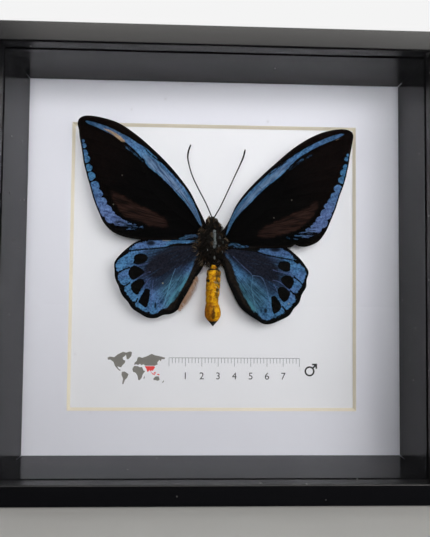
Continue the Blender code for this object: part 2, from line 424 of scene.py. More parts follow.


# %% [markdown]
# A painted highlight on the edge of a square frame lies along square lines. The group measures
# how far a point is from a square of a given half width round the middle of the frame, and
# noise breaks the line up so that the painted highlight reads as rubbing, not as a drawn stripe.

# %% Edge highlight
def build_edge_wear():
    inputs = {"Centre": (0.0, 0.0, 0.0), "Edge": 0.1, "Width": 0.001, "Amount": 0.5}
    tree, given, result = new_group("edge_highlight", inputs, ("Mask",))
    ends = {0: given["Vector"], 1: given["Centre"]}
    offset = add(tree, "ShaderNodeVectorMath", ends, operation="SUBTRACT")
    square = calc("MAXIMUM", *(calc("ABSOLUTE", offset.axis(name)) for name in "XZ"))
    near = (1.0 - calc("ABSOLUTE", square - given["Edge"]) / given["Width"]).clamped()
    patchy = given["Vector"].noise(60.0, 5.0).rise(0.42, 0.72)
    feed(result, Mask=near * patchy * given["Amount"])
    return tree


EDGE_HIGHLIGHT = build_edge_wear()
print("group:", EDGE_HIGHLIGHT.name)

# %% [markdown]
# ## The rails and the inner walls
# The moulding is fibreboard wrapped in black foil. The foil is satin: it hides its grain
# until light rakes along it, so most of the detail is in the roughness. The walls inside
# the box are strips of the same foil, a little glossier. Each strip is cut at 45 degrees
# and its grain runs along its length, so each side has its own material.

# %% Black foil
LIP_EDGE = RIM - 11.0
ALONG_RAIL = {"top": (0.06, 1.0, 1.0), "right": (1.0, 1.0, 0.06)}
ALONG_RAIL.update(bottom=ALONG_RAIL["top"], left=ALONG_RAIL["right"])


def black_foil(name, stretch, base, roughness, highlight):
    made, shader, here = new_finish(name)
    grain = use(here, FINE_GRAIN, Stretch=stretch, Scale=1400.0)
    specks = use(here, DUST, Scale=210.0, Amount=0.06)["Mask"]
    # A painted highlight: a lighter, broken line along the inner edge of the lip.
    rubbed = use(here, EDGE_HIGHLIGHT, Centre=MIDDLE, Edge=LIP_EDGE * MM, Width=0.0011, Amount=highlight)["Mask"]
    black = mix(rubbed, shaded(grain["Shade"], base, 0.75, 1.3), colour(66, 62, 58))
    black = mix(specks * 0.35, black, colour(150, 148, 145))
    rough = (grain["Shade"] - 0.5) * 0.12 + roughness + specks * 0.3
    feed(shader, Base_Color=black, Roughness=rough, Normal=bump(grain["Height"], 0.10, 0.02))
    return made


def dress(node, finish):
    """Give a node of the frame its finish."""
    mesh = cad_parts[node].data
    mesh.materials.clear()
    mesh.materials.append(finish)


# The rails get a faint painted highlight along the inner edge of the lip; the walls get none.
for side, stretch in ALONG_RAIL.items():
    satin = 0.22 if side == "top" else 0.15
    dress(f"rail_{side}", black_foil(f"foil_rail_{side}", stretch, (0.0045, 0.0045, 0.0055), 0.24, 0.15))
    dress(f"liner_{side}", black_foil(f"foil_wall_{side}", stretch, (0.0055, 0.0055, 0.0065), satin, 0.0))
print("foil on", 2 * len(ALONG_RAIL), "strips")


# %% [markdown]
# ## The mat, the card and the board
# The mat is thick board with a white face. A bevel cutter leaves a slanted edge all round
# the window, and there the cream core shows. The shader finds that edge by its slant, so
# the line stays exactly where the cut is. The card behind is smoother and brighter.

# %% Paper
def paper(name, face, tooth, fibre_scale, core=None):
    made, shader, here = new_finish(name, roughness=0.85, specular=0.25)
    grain = use(here, FINE_GRAIN, Stretch=(1.0, 1.0, 0.7), Scale=fibre_scale)
    specks = use(here, DUST, Scale=95.0, Amount=0.08)["Mask"]
    shade = mix(specks * 0.16, shaded(grain["Shade"], face, 0.965, 1.02), colour(120, 112, 104))
    if core:
        slant = add(here.tree, "ShaderNodeNewGeometry", output="True Normal").axis("Y")
        plies = here.stretched(60.0, 2600.0, 60.0).noise(1.0, 2.0)
        shade = mix(slant.rise(-0.95, -0.85), shade, shaded(plies, core, 1.0, 0.93))
    feed(shader, Base_Color=shade, Normal=bump(grain["Height"], tooth, 0.05))
    return made


dress("mat_board", paper("mat_paper", (0.79, 0.775, 0.85), 0.25, 1500.0, core=(0.82, 0.735, 0.60)))
dress("backing_card", paper("card_paper", (0.855, 0.838, 0.88), 0.12, 2400.0))
print("paper on the mat and the card")


# %% [markdown]
# The board at the back is brown fibreboard, held by bent steel points. Nobody sees it in
# use, but a frame is turned over to be hung, so it gets the felted look of pressed fibre.

# %% Fibreboard, steel and foam
def fibreboard(name):
    made, shader, here = new_finish(name, roughness=0.82, specular=0.3)
    grain = use(here, FINE_GRAIN, Scale=700.0)
    strands = here.stretched(900.0, 900.0, 160.0).noise(1.0, 4.0).rise(0.58, 0.70)
    brown = mix(grain["Shade"], colour(112, 82, 55), colour(150, 116, 82))
    brown = mix(strands, brown, colour(84, 60, 40))
    feed(shader, Base_Color=brown, Normal=bump(grain["Height"], 0.5, 0.1))
    return made


def punched_steel(name):
    made, shader, here = new_finish(name, Metallic=1.0)
    grain = use(here, FINE_GRAIN, Stretch=(1.0, 1.0, 0.1), Scale=2200.0)
    steel = mix(grain["Shade"], colour(150, 150, 152), colour(196, 196, 198))
    rough = grain["Shade"] * 0.3 + 0.18
    feed(shader, Base_Color=steel, Roughness=rough, Normal=bump(grain["Height"], 0.3, 0.03))
    return made


def foam(name):
    made, shader, here = new_finish(name, roughness=0.9, specular=0.2)
    cells = here.cells(2600.0)
    grey = mix(cells, (0.84, 0.84, 0.81), (0.60, 0.60, 0.58))
    feed(shader, Base_Color=grey, Normal=bump(cells, 0.6, 0.1))
    return made


dress("back_board", fibreboard("pressed_fibre"))
dress("pad", foam("foam_pad"))
tab_steel = punched_steel("punched_steel")
TAB_NODES = [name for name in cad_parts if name.startswith("tab_")]
for name in TAB_NODES:
    dress(name, tab_steel)
print("steel on", len(TAB_NODES), "points")

# %% [markdown]
# ## The glass
# Thin clear glass. Lamps have to shine through it, and a path tracer would otherwise treat
# the light behind it as a rare event, so rays from lamps and rays scattered by the paper
# pass straight through a Transparent shader. A ray from the eye meets the real glass.

# %% Clear glass
def clear_glass(name):
    tint = (0.985, 0.99, 0.99, 1.0)
    made, shader, here = new_finish(name, 0.0, Transmission_Weight=1.0, IOR=1.45, Base_Color=tint)
    tree = here.tree
    rays = [add(tree, "ShaderNodeLightPath", output=f"Is {kind} Ray") for kind in ("Shadow", "Diffuse")]
    clear = add(tree, "ShaderNodeBsdfTransparent", {"Color": (0.97, 0.98, 0.975, 1.0)})
    ends = {0: calc("MAXIMUM", *rays), 1: Signal(shader.outputs[0]), 2: clear}
    feed(tree.nodes["Material Output"], Surface=add(tree, "ShaderNodeMixShader", ends))
    return made


dress("glass_pane", clear_glass("clear_glass"))
print("glass in place")

# %% [markdown]
# ## Wings: the outline
# A wing is a thin membrane stretched over veins. It could be modelled by extruding its
# outline, but then light would strike it as one flat plate. Here the outline is filled with
# a fine honeycomb of points, so that the sheet can dip between the veins, and every point
# can carry how far it is from each marking. The shader turns those distances into crisp,
# slightly ragged colour borders, as rows of scales make them.

# %% Smooth lines
def smooth_line(points, spacing, closed=False):
    """A Catmull-Rom curve through the points, cut into steps of about the spacing."""
    points = np.asarray(points, float)
    count = len(points)
    pieces = []
    for start in range(count if closed else count - 1):
        near = [start + k for k in (-1, 0, 1, 2)]
        if closed:
            a, b, c, d = (points[k % count] for k in near)
        else:
            a, b, c, d = (points[min(max(k, 0), count - 1)] for k in near)
        steps = max(1, round(float(np.linalg.norm(c - b)) / spacing))
        t = (np.arange(steps) / steps)[:, None]
        bend = (2 * a - 5 * b + 4 * c - d) * t ** 2 + (3 * b - a - 3 * c + d) * t ** 3
        pieces.append(0.5 * (2 * b + (c - a) * t + bend))
    if not closed:
        pieces.append(points[-1:])
    return np.vstack(pieces)


print("steps along a test line:", len(smooth_line([(0, 0), (10, 0)], 1.0)) - 1)


# %% Distances
def line_distance(points, line):
    """How far each point is from a line of short straight pieces."""
    nearest = np.full(len(points), np.inf)
    for a, b in zip(line[:-1], line[1:]):
        ab = b - a
        t = np.clip((points - a) @ ab / max(float(ab @ ab), 1e-12), 0.0, 1.0)
        nearest = np.minimum(nearest, np.hypot(*(points - a - t[:, None] * ab).T))
    return nearest


def is_inside(points, loop):
    """Which points a closed outline holds."""
    x, z = points.T
    hit = np.zeros(len(points), bool)
    for (x0, z0), (x1, z1) in zip(loop, np.roll(loop, -1, axis=0)):
        if z0 != z1:
            crosses = (z0 > z) != (z1 > z)
            hit ^= crosses & (x < (x1 - x0) * (z - z0) / (z1 - z0) + x0)
    return hit


def depth_inside(points, loop):
    """How far inside a closed outline each point lies; negative outside."""
    edge = line_distance(points, np.vstack([loop, loop[:1]]))
    return np.where(is_inside(points, loop), edge, -edge)


def patch(points, outline, spacing=1.0):
    """How far inside a smooth closed patch each point lies."""
    return depth_inside(points, smooth_line(outline, spacing, closed=True))


def streak(points, line, half_width):
    """How far inside a painted streak of some half width each point lies."""
    return half_width - line_distance(points, smooth_line(line, 1.0))


def streaks(points, lines, half_width):
    """How far inside the nearest of several streaks each point lies."""
    return np.max([streak(points, line, half_width) for line in lines], axis=0)


def away(points, place):
    """How far each point is from a place."""
    return np.hypot(*(points - place).T)


def ease(value, low, high):
    """0 below low, 1 above high, smooth between."""
    t = np.clip((value - low) / (high - low), 0.0, 1.0)
    return t * t * (3 - 2 * t)


def hump(value, width):
    """1 at zero, falling smoothly to both sides."""
    return np.exp(-(value / width) ** 2)


print("halfway up an easing curve:", ease(0.5, 0.0, 1.0))


# %% [markdown]
# The membrane itself is a closed shell, a few tenths of a millimetre thick. Each vein is a
# low ridge with a row of points along its crest and one on either side, and the sheet sags
# a little between veins. One slow wave keeps a large dry wing from looking ironed.

# %% The membrane
# All in millimetres. Points lie one step apart, and the fringe reaches past the outline.
SCALE_STEP = 0.6
MEMBRANE = 0.16
VEIN_HALF = 0.3
VEIN_RISE = 0.13
VEIN_SAG = 0.22
FRINGE = 0.3


def wing_points(edge, veins):
    """Points that fill an outline: its edge, a honeycomb, and three rows along each vein."""
    low, high = edge.min(axis=0), edge.max(axis=0)
    rows = []
    for i, z in enumerate(np.arange(low[1], high[1], SCALE_STEP * math.sqrt(3) / 2)):
        x = np.arange(low[0] + SCALE_STEP / 2 * (i % 2), high[0], SCALE_STEP)
        rows.append(np.column_stack([x, np.full(len(x), z)]))
    grid = np.vstack(rows)
    grid = grid[depth_inside(grid, edge) > 0.55 * SCALE_STEP]
    ribs = []
    for vein in veins:
        line = smooth_line(vein, SCALE_STEP)
        along = np.gradient(line, axis=0)
        side = np.column_stack([-along[:, 1], along[:, 0]]) / np.hypot(*along.T)[:, None]
        grid = grid[line_distance(grid, line) > VEIN_HALF + 0.35 * SCALE_STEP]
        ribs += [line + side * offset for offset in (-VEIN_HALF, 0.0, VEIN_HALF)]
    ribs = np.vstack(ribs)
    return np.vstack([edge, grid, ribs[depth_inside(ribs, edge) > 0.4 * SCALE_STEP]])


def fringed(edge):
    """A closed outline moved outwards by the width of its fringe of scales."""
    along = np.roll(edge, -1, axis=0) - np.roll(edge, 1, axis=0)
    out = np.column_stack([along[:, 1], -along[:, 0]]) / np.hypot(*along.T)[:, None]
    grown = edge + out * FRINGE
    return grown if is_inside(edge[:1], grown)[0] else edge - out * FRINGE


def membrane(edge, veins):
    """Points and triangles that fill the outline, facing the viewer."""
    loose = wing_points(edge, veins)
    found = delaunay_2d_cdt([Vector(p) for p in loose], [], [list(range(len(edge)))], 1, 0.02)
    flat = np.array([tuple(p) for p in found[0]])
    triangles = np.array(found[2])
    used = np.unique(triangles)
    renumber = np.full(len(flat), -1)
    renumber[used] = np.arange(len(used))
    return flat[used], renumber[triangles]


print("membrane", MEMBRANE, "mm thick")


# %% Pieces
def set_values(piece, values):
    """One number per point under each name, for the shaders to read."""
    for name, numbers in values.items():
        piece.data.attributes.new(name, "FLOAT", "POINT").data.foreach_set("value", numbers)


def mount(name, data, replaced=()):
    """An object that rides on the frame; it may replace nodes."""
    piece = bpy.data.objects.new(name, data)
    bpy.context.collection.objects.link(piece)
    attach(piece, "root")
    if replaced:
        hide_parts(*replaced)
    return piece


def add_piece(name, points, faces, finish, slot, replaced=(), smooth=True):
    """A mesh piece from points in millimetres."""
    mesh = bpy.data.meshes.new(name)
    mesh.from_pydata((np.asarray(points) * MM + np.array(MIDDLE)).tolist(), [], faces)
    if smooth:
        mesh.shade_smooth()
    mesh.materials.append(finish)
    print(name, len(faces), "faces")
    return mount(name, mesh, replaced)


print("pieces ride on", "root")


# %% [markdown]
# A wing is then the two skins of its membrane with a narrow rim between them. Every point
# carries its place in the fan of scale rows, and its distance from each marking.

# %% Wings
def add_wing(side, part, outline, veins, depth, wave, mark, finish):
    """A wing: its shell, its relief, and the marking distances that mark() works out."""
    edge = fringed(smooth_line(outline, SCALE_STEP, closed=True))
    flat, triangles = membrane(edge, veins)
    to_vein = -streaks(flat, veins, 0.0)
    rim = depth_inside(flat, edge)
    x, z = flat.T
    y = depth + VEIN_SAG * (1 - hump(to_vein, 2.2)) - VEIN_RISE * hump(to_vein, VEIN_HALF)
    y = y + wave * np.sin(0.11 * np.abs(x) + 0.07 * z + 1.3) * np.sin(0.05 * np.abs(x) - 0.13 * z)
    front, back = (np.column_stack([x, y + half, z]) for half in (-MEMBRANE / 2, MEMBRANE / 2))
    count = len(flat)
    directed = {(a, b) for t in triangles.tolist() for a, b in zip(t, t[1:] + t[:1])}
    open_edges = [(a, b) for a, b in directed if (b, a) not in directed]
    faces = triangles.tolist() + (triangles[:, ::-1] + count).tolist()
    faces += sorted((b, a, a + count, b + count) for a, b in open_edges)
    node = f"{part}_{side}"
    piece = add_piece(f"{side}_{part}", np.vstack([front, back]), faces, finish, node, (node,))
    root = np.array(outline[0])
    values = {
        "fan": np.arctan2(z - root[1], np.abs(x - root[0])) * 0.04, "reach": away(flat, root) * MM,
        "rim": rim, **mark(side, flat, rim, to_vein),
    }
    set_values(piece, {key: np.tile(v, 2) for key, v in values.items()})


print("veins rise", VEIN_RISE, "mm and the sheet sags", VEIN_SAG, "mm")

# %% [markdown]
# ## Wings: scales
# Under a lens a wing is shingled with scales in rows across the veins, fanning out from the
# shoulder. The fan and reach values that every point carries make a vector along the rows.
# Two shared groups follow. One draws the scales, as shade, streak and height. The other
# turns a distance to a border into a mask with scale-sized teeth.

# %% Scale rows
def number_at(here, name):
    """A number that the points of a mesh carry."""
    return add(here.tree, "ShaderNodeAttribute", output="Fac", attribute_name=name)


def along_rows(here):
    """A vector that fans out from the shoulder: across the rows, then outwards."""
    parts = {0: number_at(here, "fan"), 1: number_at(here, "reach")}
    return add(here.tree, "ShaderNodeCombineXYZ", parts)


def build_scales():
    inputs = {"Rows": (0.0, 0.0, 0.0), "Scale": 5200.0}
    tree, given, result = new_group("wing_scales", inputs, ("Shade", "Height", "Streak"))
    here, rows = given["Vector"], given["Rows"]
    near, paint = (here.cells(given["Scale"], kind, 0.8) for kind in ("Distance", "Color"))
    tone = add(tree, "ShaderNodeSeparateColor", {0: paint})
    hairs = rows.stretched(1150.0, 120.0, 1.0).noise(1.0, 4.0).rise(0.36, 0.64)
    wide = rows.stretched(430.0, 55.0, 1.0).noise(1.0, 3.0).rise(0.36, 0.64)
    flecks = here.noise(850.0, 4.0).rise(0.38, 0.62)
    lines = hairs * 0.6 + wide * 0.4
    shade = tone * 0.2 + mix(0.45, lines, flecks) * 0.8
    feed(result, Shade=shade, Streak=lines, Height=lines - near * 0.5)
    return tree


def build_ragged():
    inputs = {"Depth": 0.0, "Teeth": 0.3, "Scale": 1500.0, "Softness": 0.12}
    _, given, result = new_group("ragged_border", inputs, ("Mask",))
    push = (given["Vector"].noise(given["Scale"]) - 0.5) * given["Teeth"]
    moved = given["Depth"] + push * 2.0
    feed(result, Mask=moved.rise(given["Softness"] * -1.0, given["Softness"]))
    return result.id_data


WING_SCALES = build_scales()
RAGGED = build_ragged()


def border(vector, name, teeth, scale, softness):
    """The mask of a marking whose depth the points carry."""
    depth = number_at(vector, name)
    return use(vector, RAGGED, Depth=depth, Teeth=teeth, Scale=scale, Softness=softness)["Mask"]


print("groups:", WING_SCALES.name, RAGGED.name)

# %% [markdown]
# ## Forewings
# The forewing is velvet black with a blue band under its leading edge, a chain of blue
# spots round its outer margin and a patch of brown felt, which are scent scales. Towards the
# shoulder the band turns silvery, and a thin crease divides it. The right wing was set a
# little differently by hand, so it has an outline of its own and only borrows the veins.

# %% Forewing outlines and veins
FORE_LEFT = (
    (-4, 20.2), (-7.3, 27.8), (-11.4, 35.9), (-15.5, 43.8), (-21.9, 52.4), (-28.9, 60.4),
    (-37.6, 68.8), (-46.8, 76.7), (-57.3, 83.6), (-67.2, 86.9), (-76.2, 88.2), (-80.6, 86.9),
    (-82, 83.7), (-81.2, 79.9), (-80.4, 74.4), (-79.1, 67.6), (-78, 60.7), (-76.3, 54.2),
    (-73.9, 46.1), (-71.7, 38.5), (-68.9, 31.5), (-65.4, 24.5), (-60.3, 19.5), (-54.2, 16.8),
    (-46.2, 15.4), (-38, 14.9), (-30, 15.1), (-12, 15.3), (-4, 14.7),
)
FORE_RIGHT = (
    (0.5, 17.6), (4.9, 21), (8.9, 27.7), (12.9, 36.3), (19.2, 44.9), (27.6, 53.7),
    (36.7, 62.1), (45.3, 69.7), (54.1, 75.8), (62.8, 80.1), (71.5, 82.5), (78.5, 82.8),
    (82.4, 80.4), (81.9, 74.3), (80.8, 68.5), (79.9, 62.6), (78.7, 56.8), (76.9, 49.8),
    (74.5, 43.3), (72.2, 35.9), (69.3, 28.6), (65.9, 21.1), (61.4, 15.2), (55, 12.3),
    (50.4, 12.3), (47.6, 13.2), (44, 11.5), (30, 10.9), (10, 10.8), (1, 10.6),
)
FORE_VEINS = (
    ((-8, 21), (-20, 40.5), (-31, 52.5), (-40, 59.5), (-52, 71), (-66, 79.8), (-79.5, 82.5)),
    ((-8, 20), (-18, 27), (-27, 34), (-37, 43.5), (-41, 51), (-40, 59.5)),
    ((-40, 59.5), (-58, 69.5), (-80.6, 76)),
    ((-41, 54), (-60, 62), (-78.9, 67.8)),
    ((-40.5, 49), (-60, 56), (-77.6, 60)),
    ((-37, 43.5), (-56, 48.5), (-74.9, 50.5)),
    ((-32, 38.5), (-52, 40.5), (-71.6, 39.8)),
    ((-25, 32.5), (-46, 32), (-66.2, 28.5)),
    ((-18, 27), (-38, 25), (-58, 19.2)),
    ((-8, 19), (-25, 18.5), (-44, 16.8)),
    ((-9, 25.5), (-17.5, 41), (-31, 58.5), (-47, 73.8), (-62, 83)),
)
FORE_TURN = math.radians(-1.39)
FORE_SHIFT = (-1.10, -3.36)


def on_right(line):
    """A vein of the left forewing laid out for the right one."""
    c, s = math.cos(FORE_TURN), math.sin(FORE_TURN)
    return [(c * -x - s * z + FORE_SHIFT[0], s * -x + c * z + FORE_SHIFT[1]) for x, z in line]


print("forewing veins:", len(FORE_VEINS))

# %% Forewing markings
FORE_MARKS = {
    "left": {
        "band": (
            (-77.4, 85.3), (-73.3, 84.7), (-68.9, 83.3), (-63.4, 81.4), (-54, 76.9), (-46.8, 72.5),
            (-41, 68.9), (-31.8, 60.2), (-21.8, 49.8), (-17.3, 44.3), (-13.4, 37.7), (-10.3, 31.1),
            (-7.8, 23.2), (-9.4, 24.5), (-15, 33.3), (-21.7, 41.2), (-28.3, 48.3), (-33.9, 53.5),
            (-39.4, 57.6), (-43.4, 62.8), (-48.4, 68.3), (-53.9, 72.7), (-59.5, 75.8), (-68.9, 80.5),
            (-76.6, 83.8),
        ),
        "wedge": ((-42.4, 69.5), (-40.1, 66.7), (-35.7, 63.3), (-30.1, 59.5)),
        "crease": ((-35.9, 63.5), (-20.7, 46.5), (-13.2, 35), (-9.2, 25.3)),
        "bar": ((-23.4, 44), (-20, 46.5)),
        "dash": ((-54.4, 70.8), (-50.6, 68), (-46.7, 64.7), (-43, 61.6)),
        "rub": (
            (-66.6, 80.6), (-62.6, 79.6), (-58, 77), (-54.6, 74), (-54, 72.9), (-56, 73.2),
            (-59, 75.4), (-62.4, 77.8),
        ),
        "spots": (
            (-79, 73.1, 1), (-78.4, 70.3, 1.5), (-77.7, 66, 1.9), (-76.8, 62.2, 2.2),
            (-75.3, 57.2, 2.2), (-73.8, 52, 2.6), (-71.7, 46.2, 2.9), (-70, 41, 3.4),
            (-67.8, 36.6, 3.5), (-64.9, 31.7, 3.8), (-61.6, 27.9, 3.6), (-57.8, 25.7, 2.8),
            (-54.5, 24.1, 2.5), (-50.9, 22.8, 2.2), (-47.7, 22, 1.8), (-43.8, 21.5, 1.2),
        ),
        "felt": (
            (-61.9, 43.5), (-58, 41.8), (-54.5, 40.3), (-46.5, 35.8), (-38, 31.9), (-31.8, 28.6),
            (-28.3, 24.5), (-29, 22.5), (-39, 23.4), (-46.4, 26.7), (-52, 28), (-55.5, 30.5),
            (-60.7, 38.4),
        ),
        "base": (((-21.1, 15.4), (-17, 16.2), (-12.9, 17)), ((-17.5, 17.3), (-13.7, 17.7), (-9.7, 16.9))),
        "frayed": ((-56.9, 23.8), (-50.9, 21.7), (-42.2, 21)),
        "specks": ((-55.4, 52.9), (-60.4, 35.6)),
    },
    "right": {
        "band": (
            (77.8, 80.5), (72, 79.6), (66.4, 77.5), (60.2, 74.6), (51.3, 69.6), (42.9, 63.8),
            (34, 57.2), (25.7, 49.8), (18, 41.6), (14.1, 36.8), (11.4, 32.6), (9.2, 27.9),
            (7.6, 23.1), (6.5, 17.9), (8.7, 21.8), (10.9, 26.2), (14.2, 30.7), (21.3, 38),
            (29, 46), (38.5, 53.8), (44, 59.7), (47.9, 63.7), (52.4, 67.1), (61.9, 72.5),
            (73.2, 77.6),
        ),
        "wedge": ((42.3, 62.7), (38.4, 60.2), (35.1, 57.1), (31.8, 54.8)),
        "crease": ((40, 61.4), (23.4, 46.2), (13, 33.6), (8.4, 23.6)),
        "bar": ((25.4, 48), (28.4, 45.6)),
        "dash": ((44.2, 58.2), (49.8, 62.4), (57.2, 67)),
        "rub": ((72.2, 76.4), (74, 77.4), (74.2, 77)),
        "spots": (
            (79.6, 67.6, 0.8), (78.9, 65.1, 1.3), (78.2, 60.3, 1.6), (77.2, 56.6, 2.2),
            (75.8, 52.3, 2.1), (73.7, 46.7, 2.7), (71.9, 42.2, 2.7), (70.4, 38.8, 3),
            (68.2, 35.4, 3.2), (66.4, 31.5, 3.4), (63.7, 26.7, 3.7), (60.3, 23, 3.5),
            (56.4, 20.5, 2.7), (52.5, 18.7, 2.1), (48.6, 17.6, 1.5), (43.6, 17, 1.1),
        ),
        "felt": (
            (61.1, 39.5), (54.2, 34.9), (46.1, 31.2), (36.9, 27), (28.9, 22.9), (25.5, 18.6),
            (29, 17.2), (36.4, 17.8), (44.4, 20.2), (51.9, 23.8), (57, 29), (60.6, 34.4),
        ),
        "base": (((11.8, 11.4), (15.7, 11.2), (19.3, 11.6)), ((8.2, 12.2), (11, 13), (14.4, 12.3))),
        "frayed": ((58.6, 20.2), (52.5, 17.9), (42, 16.8)),
        "specks": ((45.6, 39.7), (34.9, 28.8)),
    },
}
# Painted shade: the wings on the right side are darkened as a whole by this share.
SHADED = {"left": 0.0, "right": 0.17}
RIM_BLACK = 0.85
NOTCH = 0.7


def mark_forewing(side, flat, rim, to_vein):
    """The marking distances of one forewing."""
    marks = FORE_MARKS[side]
    x, z = flat.T
    band = np.minimum(patch(flat, marks["band"]), -streak(flat, marks["wedge"], 0.34))
    spots = np.max([size - away(flat, place) for *place, size in marks["spots"]], axis=0)
    notch = NOTCH * hump(to_vein, 0.5) * ease(rim, 2.0, 4.5)
    spots = np.minimum(spots - notch, rim - RIM_BLACK)
    dash = streak(flat, marks["dash"], 0.42)
    base = streaks(flat, marks["base"], 0.55)
    shoulder = away(flat, marks["crease"][-1])
    frayed = ease(streak(flat, marks["frayed"], 5.0), 0.0, 4.0)
    low_end = 0.55 * frayed * ease(-np.abs(x), -58.0, -47.0)
    tip = 0.42 * ease(z, 72.0, 77.0)
    below = -streak(flat, marks["crease"], 0.0)
    return {
        "blue": np.maximum.reduce([band, spots, dash, base]),
        "frayed": np.maximum(frayed, 0.8 * np.maximum(ease(dash, -1.2, 0.2), ease(base, -1.0, 0.5))),
        "violet": ease(-z, -54.0, -30.0) * ease(np.abs(x), 40.0, 60.0),
        "crease": np.maximum(0.2 - below, streak(flat, marks["bar"], 0.3)),
        "silver": ease(band, 0.2, 1.2) * (1 - ease(shoulder, 46.0, 58.0)) * ease(below, 0.1, 1.2),
        "dusk": 1 - ease(shoulder, 4.0, 26.0),
        # Darker tips, dash and low spots, and over the right wing a painted shade.
        "dim_and_shade": np.maximum.reduce([tip, 0.5 * ease(dash, -0.8, 0.1), low_end, np.full_like(x, SHADED[side])]),
        "felt": patch(flat, marks["felt"]),
        "rub": patch(flat, marks["rub"], 0.6),
        "speck": np.max([0.45 - away(flat, speck) for speck in marks["specks"]], axis=0),
    }


print("forewing markings:", list(FORE_MARKS["left"]))

# %% [markdown]
# The blue of the wings isn't a dye but thin layers in the scales, so it changes over the
# wing. The finish mixes four blues by place, lays them over the velvet ground, and frays
# the border where scales are lost.

# %% Forewing finish
VELVET = (0.0003, 0.0003, 0.0004)


def forewing_ground(here, scales):
    """Velvet black, brown towards the tip and the rim, with the felt patch."""
    velvet = mix(scales["Shade"], VELVET, (0.0016, 0.0014, 0.0014))
    brown = mix(scales["Shade"], (0.0016, 0.0007, 0.0006), (0.0052, 0.0028, 0.0025))
    velvet = mix(number_at(here, "reach").rise(0.045, 0.085) * 0.9, velvet, brown)
    margin = 1.0 - number_at(here, "rim").rise(0.5, 1.9)
    velvet = mix(margin * 0.4, velvet, (0.0095, 0.0070, 0.0062))
    felt = mix(scales["Streak"], colour(13, 8, 7), colour(46, 30, 26))
    return mix(border(here, "felt", 1.4, 420.0, 1.0), velvet, felt)


def forewing_blue(here, scales):
    """Structural blue: cyan at the tip, violet at the low spots, silvery along the band."""
    cyan = mix(scales["Shade"], colour(12, 46, 86), colour(86, 140, 182))
    azure = mix(scales["Shade"], colour(24, 52, 92), colour(102, 138, 184))
    violet = mix(scales["Shade"], colour(42, 52, 90), colour(118, 138, 190))
    silver = mix(scales["Streak"], colour(42, 58, 86), colour(124, 144, 174))
    blue = mix(here.noise(42.0, 2.0).rise(0.40, 0.62), cyan, azure)
    blue = mix(number_at(here, "violet") * 0.85, blue, violet)
    blue = mix(number_at(here, "silver") * 0.78, blue, silver)
    blue = mix(number_at(here, "dusk") * 0.4, blue, colour(50, 60, 76))
    # Darker tips, dash and low spots, and painted shade over the right wing, as a deep blue.
    blue = mix(number_at(here, "dim_and_shade"), blue, colour(6, 40, 62))
    return mix(border(here, "crease", 0.14, 1500.0, 0.2) * 0.6, blue, colour(34, 42, 58))


def forewing_finish(name):
    made, shader, here = new_finish(name, roughness=0.7, specular=0.012)
    rows = along_rows(here)
    scales = use(here, WING_SCALES, Rows=rows)
    frayed = number_at(here, "frayed")
    teeth = frayed * 2.4 + 0.42
    gaps = (1.0 - scales["Streak"]) * frayed
    edge = border(rows.stretched(1.0, 0.22, 1.0), "blue", teeth, 1300.0, 0.2)
    edge = edge * (1.0 - gaps * 1.5).clamped()
    skin = mix(edge, forewing_ground(here, scales), forewing_blue(here, scales))
    bare = mix(scales["Streak"], colour(104, 84, 66), colour(186, 158, 128))
    skin = mix(border(here, "rub", 0.5, 1300.0, 0.35) * 0.95, skin, bare)
    skin = mix(border(here, "speck", 0.1, 2500.0, 0.2) * 0.6, skin, colour(110, 106, 98))
    feed(shader, Base_Color=skin, Metallic=edge * 0.12, Normal=bump(scales["Height"], 0.35, 0.06))
    return made


forewing_skin = forewing_finish("forewing_scales")
right_veins = [on_right(vein) for vein in FORE_VEINS]
for side, outline, veins in (("left", FORE_LEFT, FORE_VEINS), ("right", FORE_RIGHT, right_veins)):
    add_wing(side, "forewing", outline, veins, FOREWING_DEPTH, 0.22, mark_forewing, forewing_skin)

# %% [markdown]
# ## Hindwings
# The hindwing is the opposite of the forewing: blue ground, black velvet markings. It has a
# black scalloped margin, four round black spots between the veins, a dark smoky cell
# in the middle, and a brown strip along the inner edge that lies against the body. Towards
# the inner edge the blue turns to teal, and the veins show as thin pale lines.

# %% Hindwing outlines and veins
HIND_LEFT = (
    (-5, 14), (-14, 18), (-30, 18.6), (-40, 15.9), (-46.7, 13.4), (-51.3, 10.1),
    (-55.8, 5.8), (-59, 1.3), (-58.9, -3.6), (-58.4, -8.3), (-56.3, -13), (-54.2, -18),
    (-50.9, -21.8), (-48.2, -25.7), (-44, -28.4), (-39.4, -30.9), (-34.4, -31.1),
    (-30.3, -29.3), (-25.6, -28.6), (-21.9, -26.2), (-20.1, -22.6), (-15.8, -15.2),
    (-12, -8.3), (-8.6, -3), (-6, 2), (-5, 6),
)
HIND_RIGHT = (
    (2, 8.7), (12, 13.2), (28, 15.1), (38, 13.4), (42.7, 11.2), (46.5, 8.4),
    (50.7, 4.6), (54.4, -0.2), (55.9, -3.6), (54.7, -7.9), (54.3, -12.3), (51.8, -16.8), (50.2, -21.6),
    (47, -25.2), (44.3, -29.1), (39.2, -31.8), (33.6, -34.1), (29.2, -34.1), (25.5, -31.9),
    (20.7, -28.9), (15.3, -24.1), (11, -16.2), (7.6, -8.7), (5.7, -2), (3.4, 2.6),
)
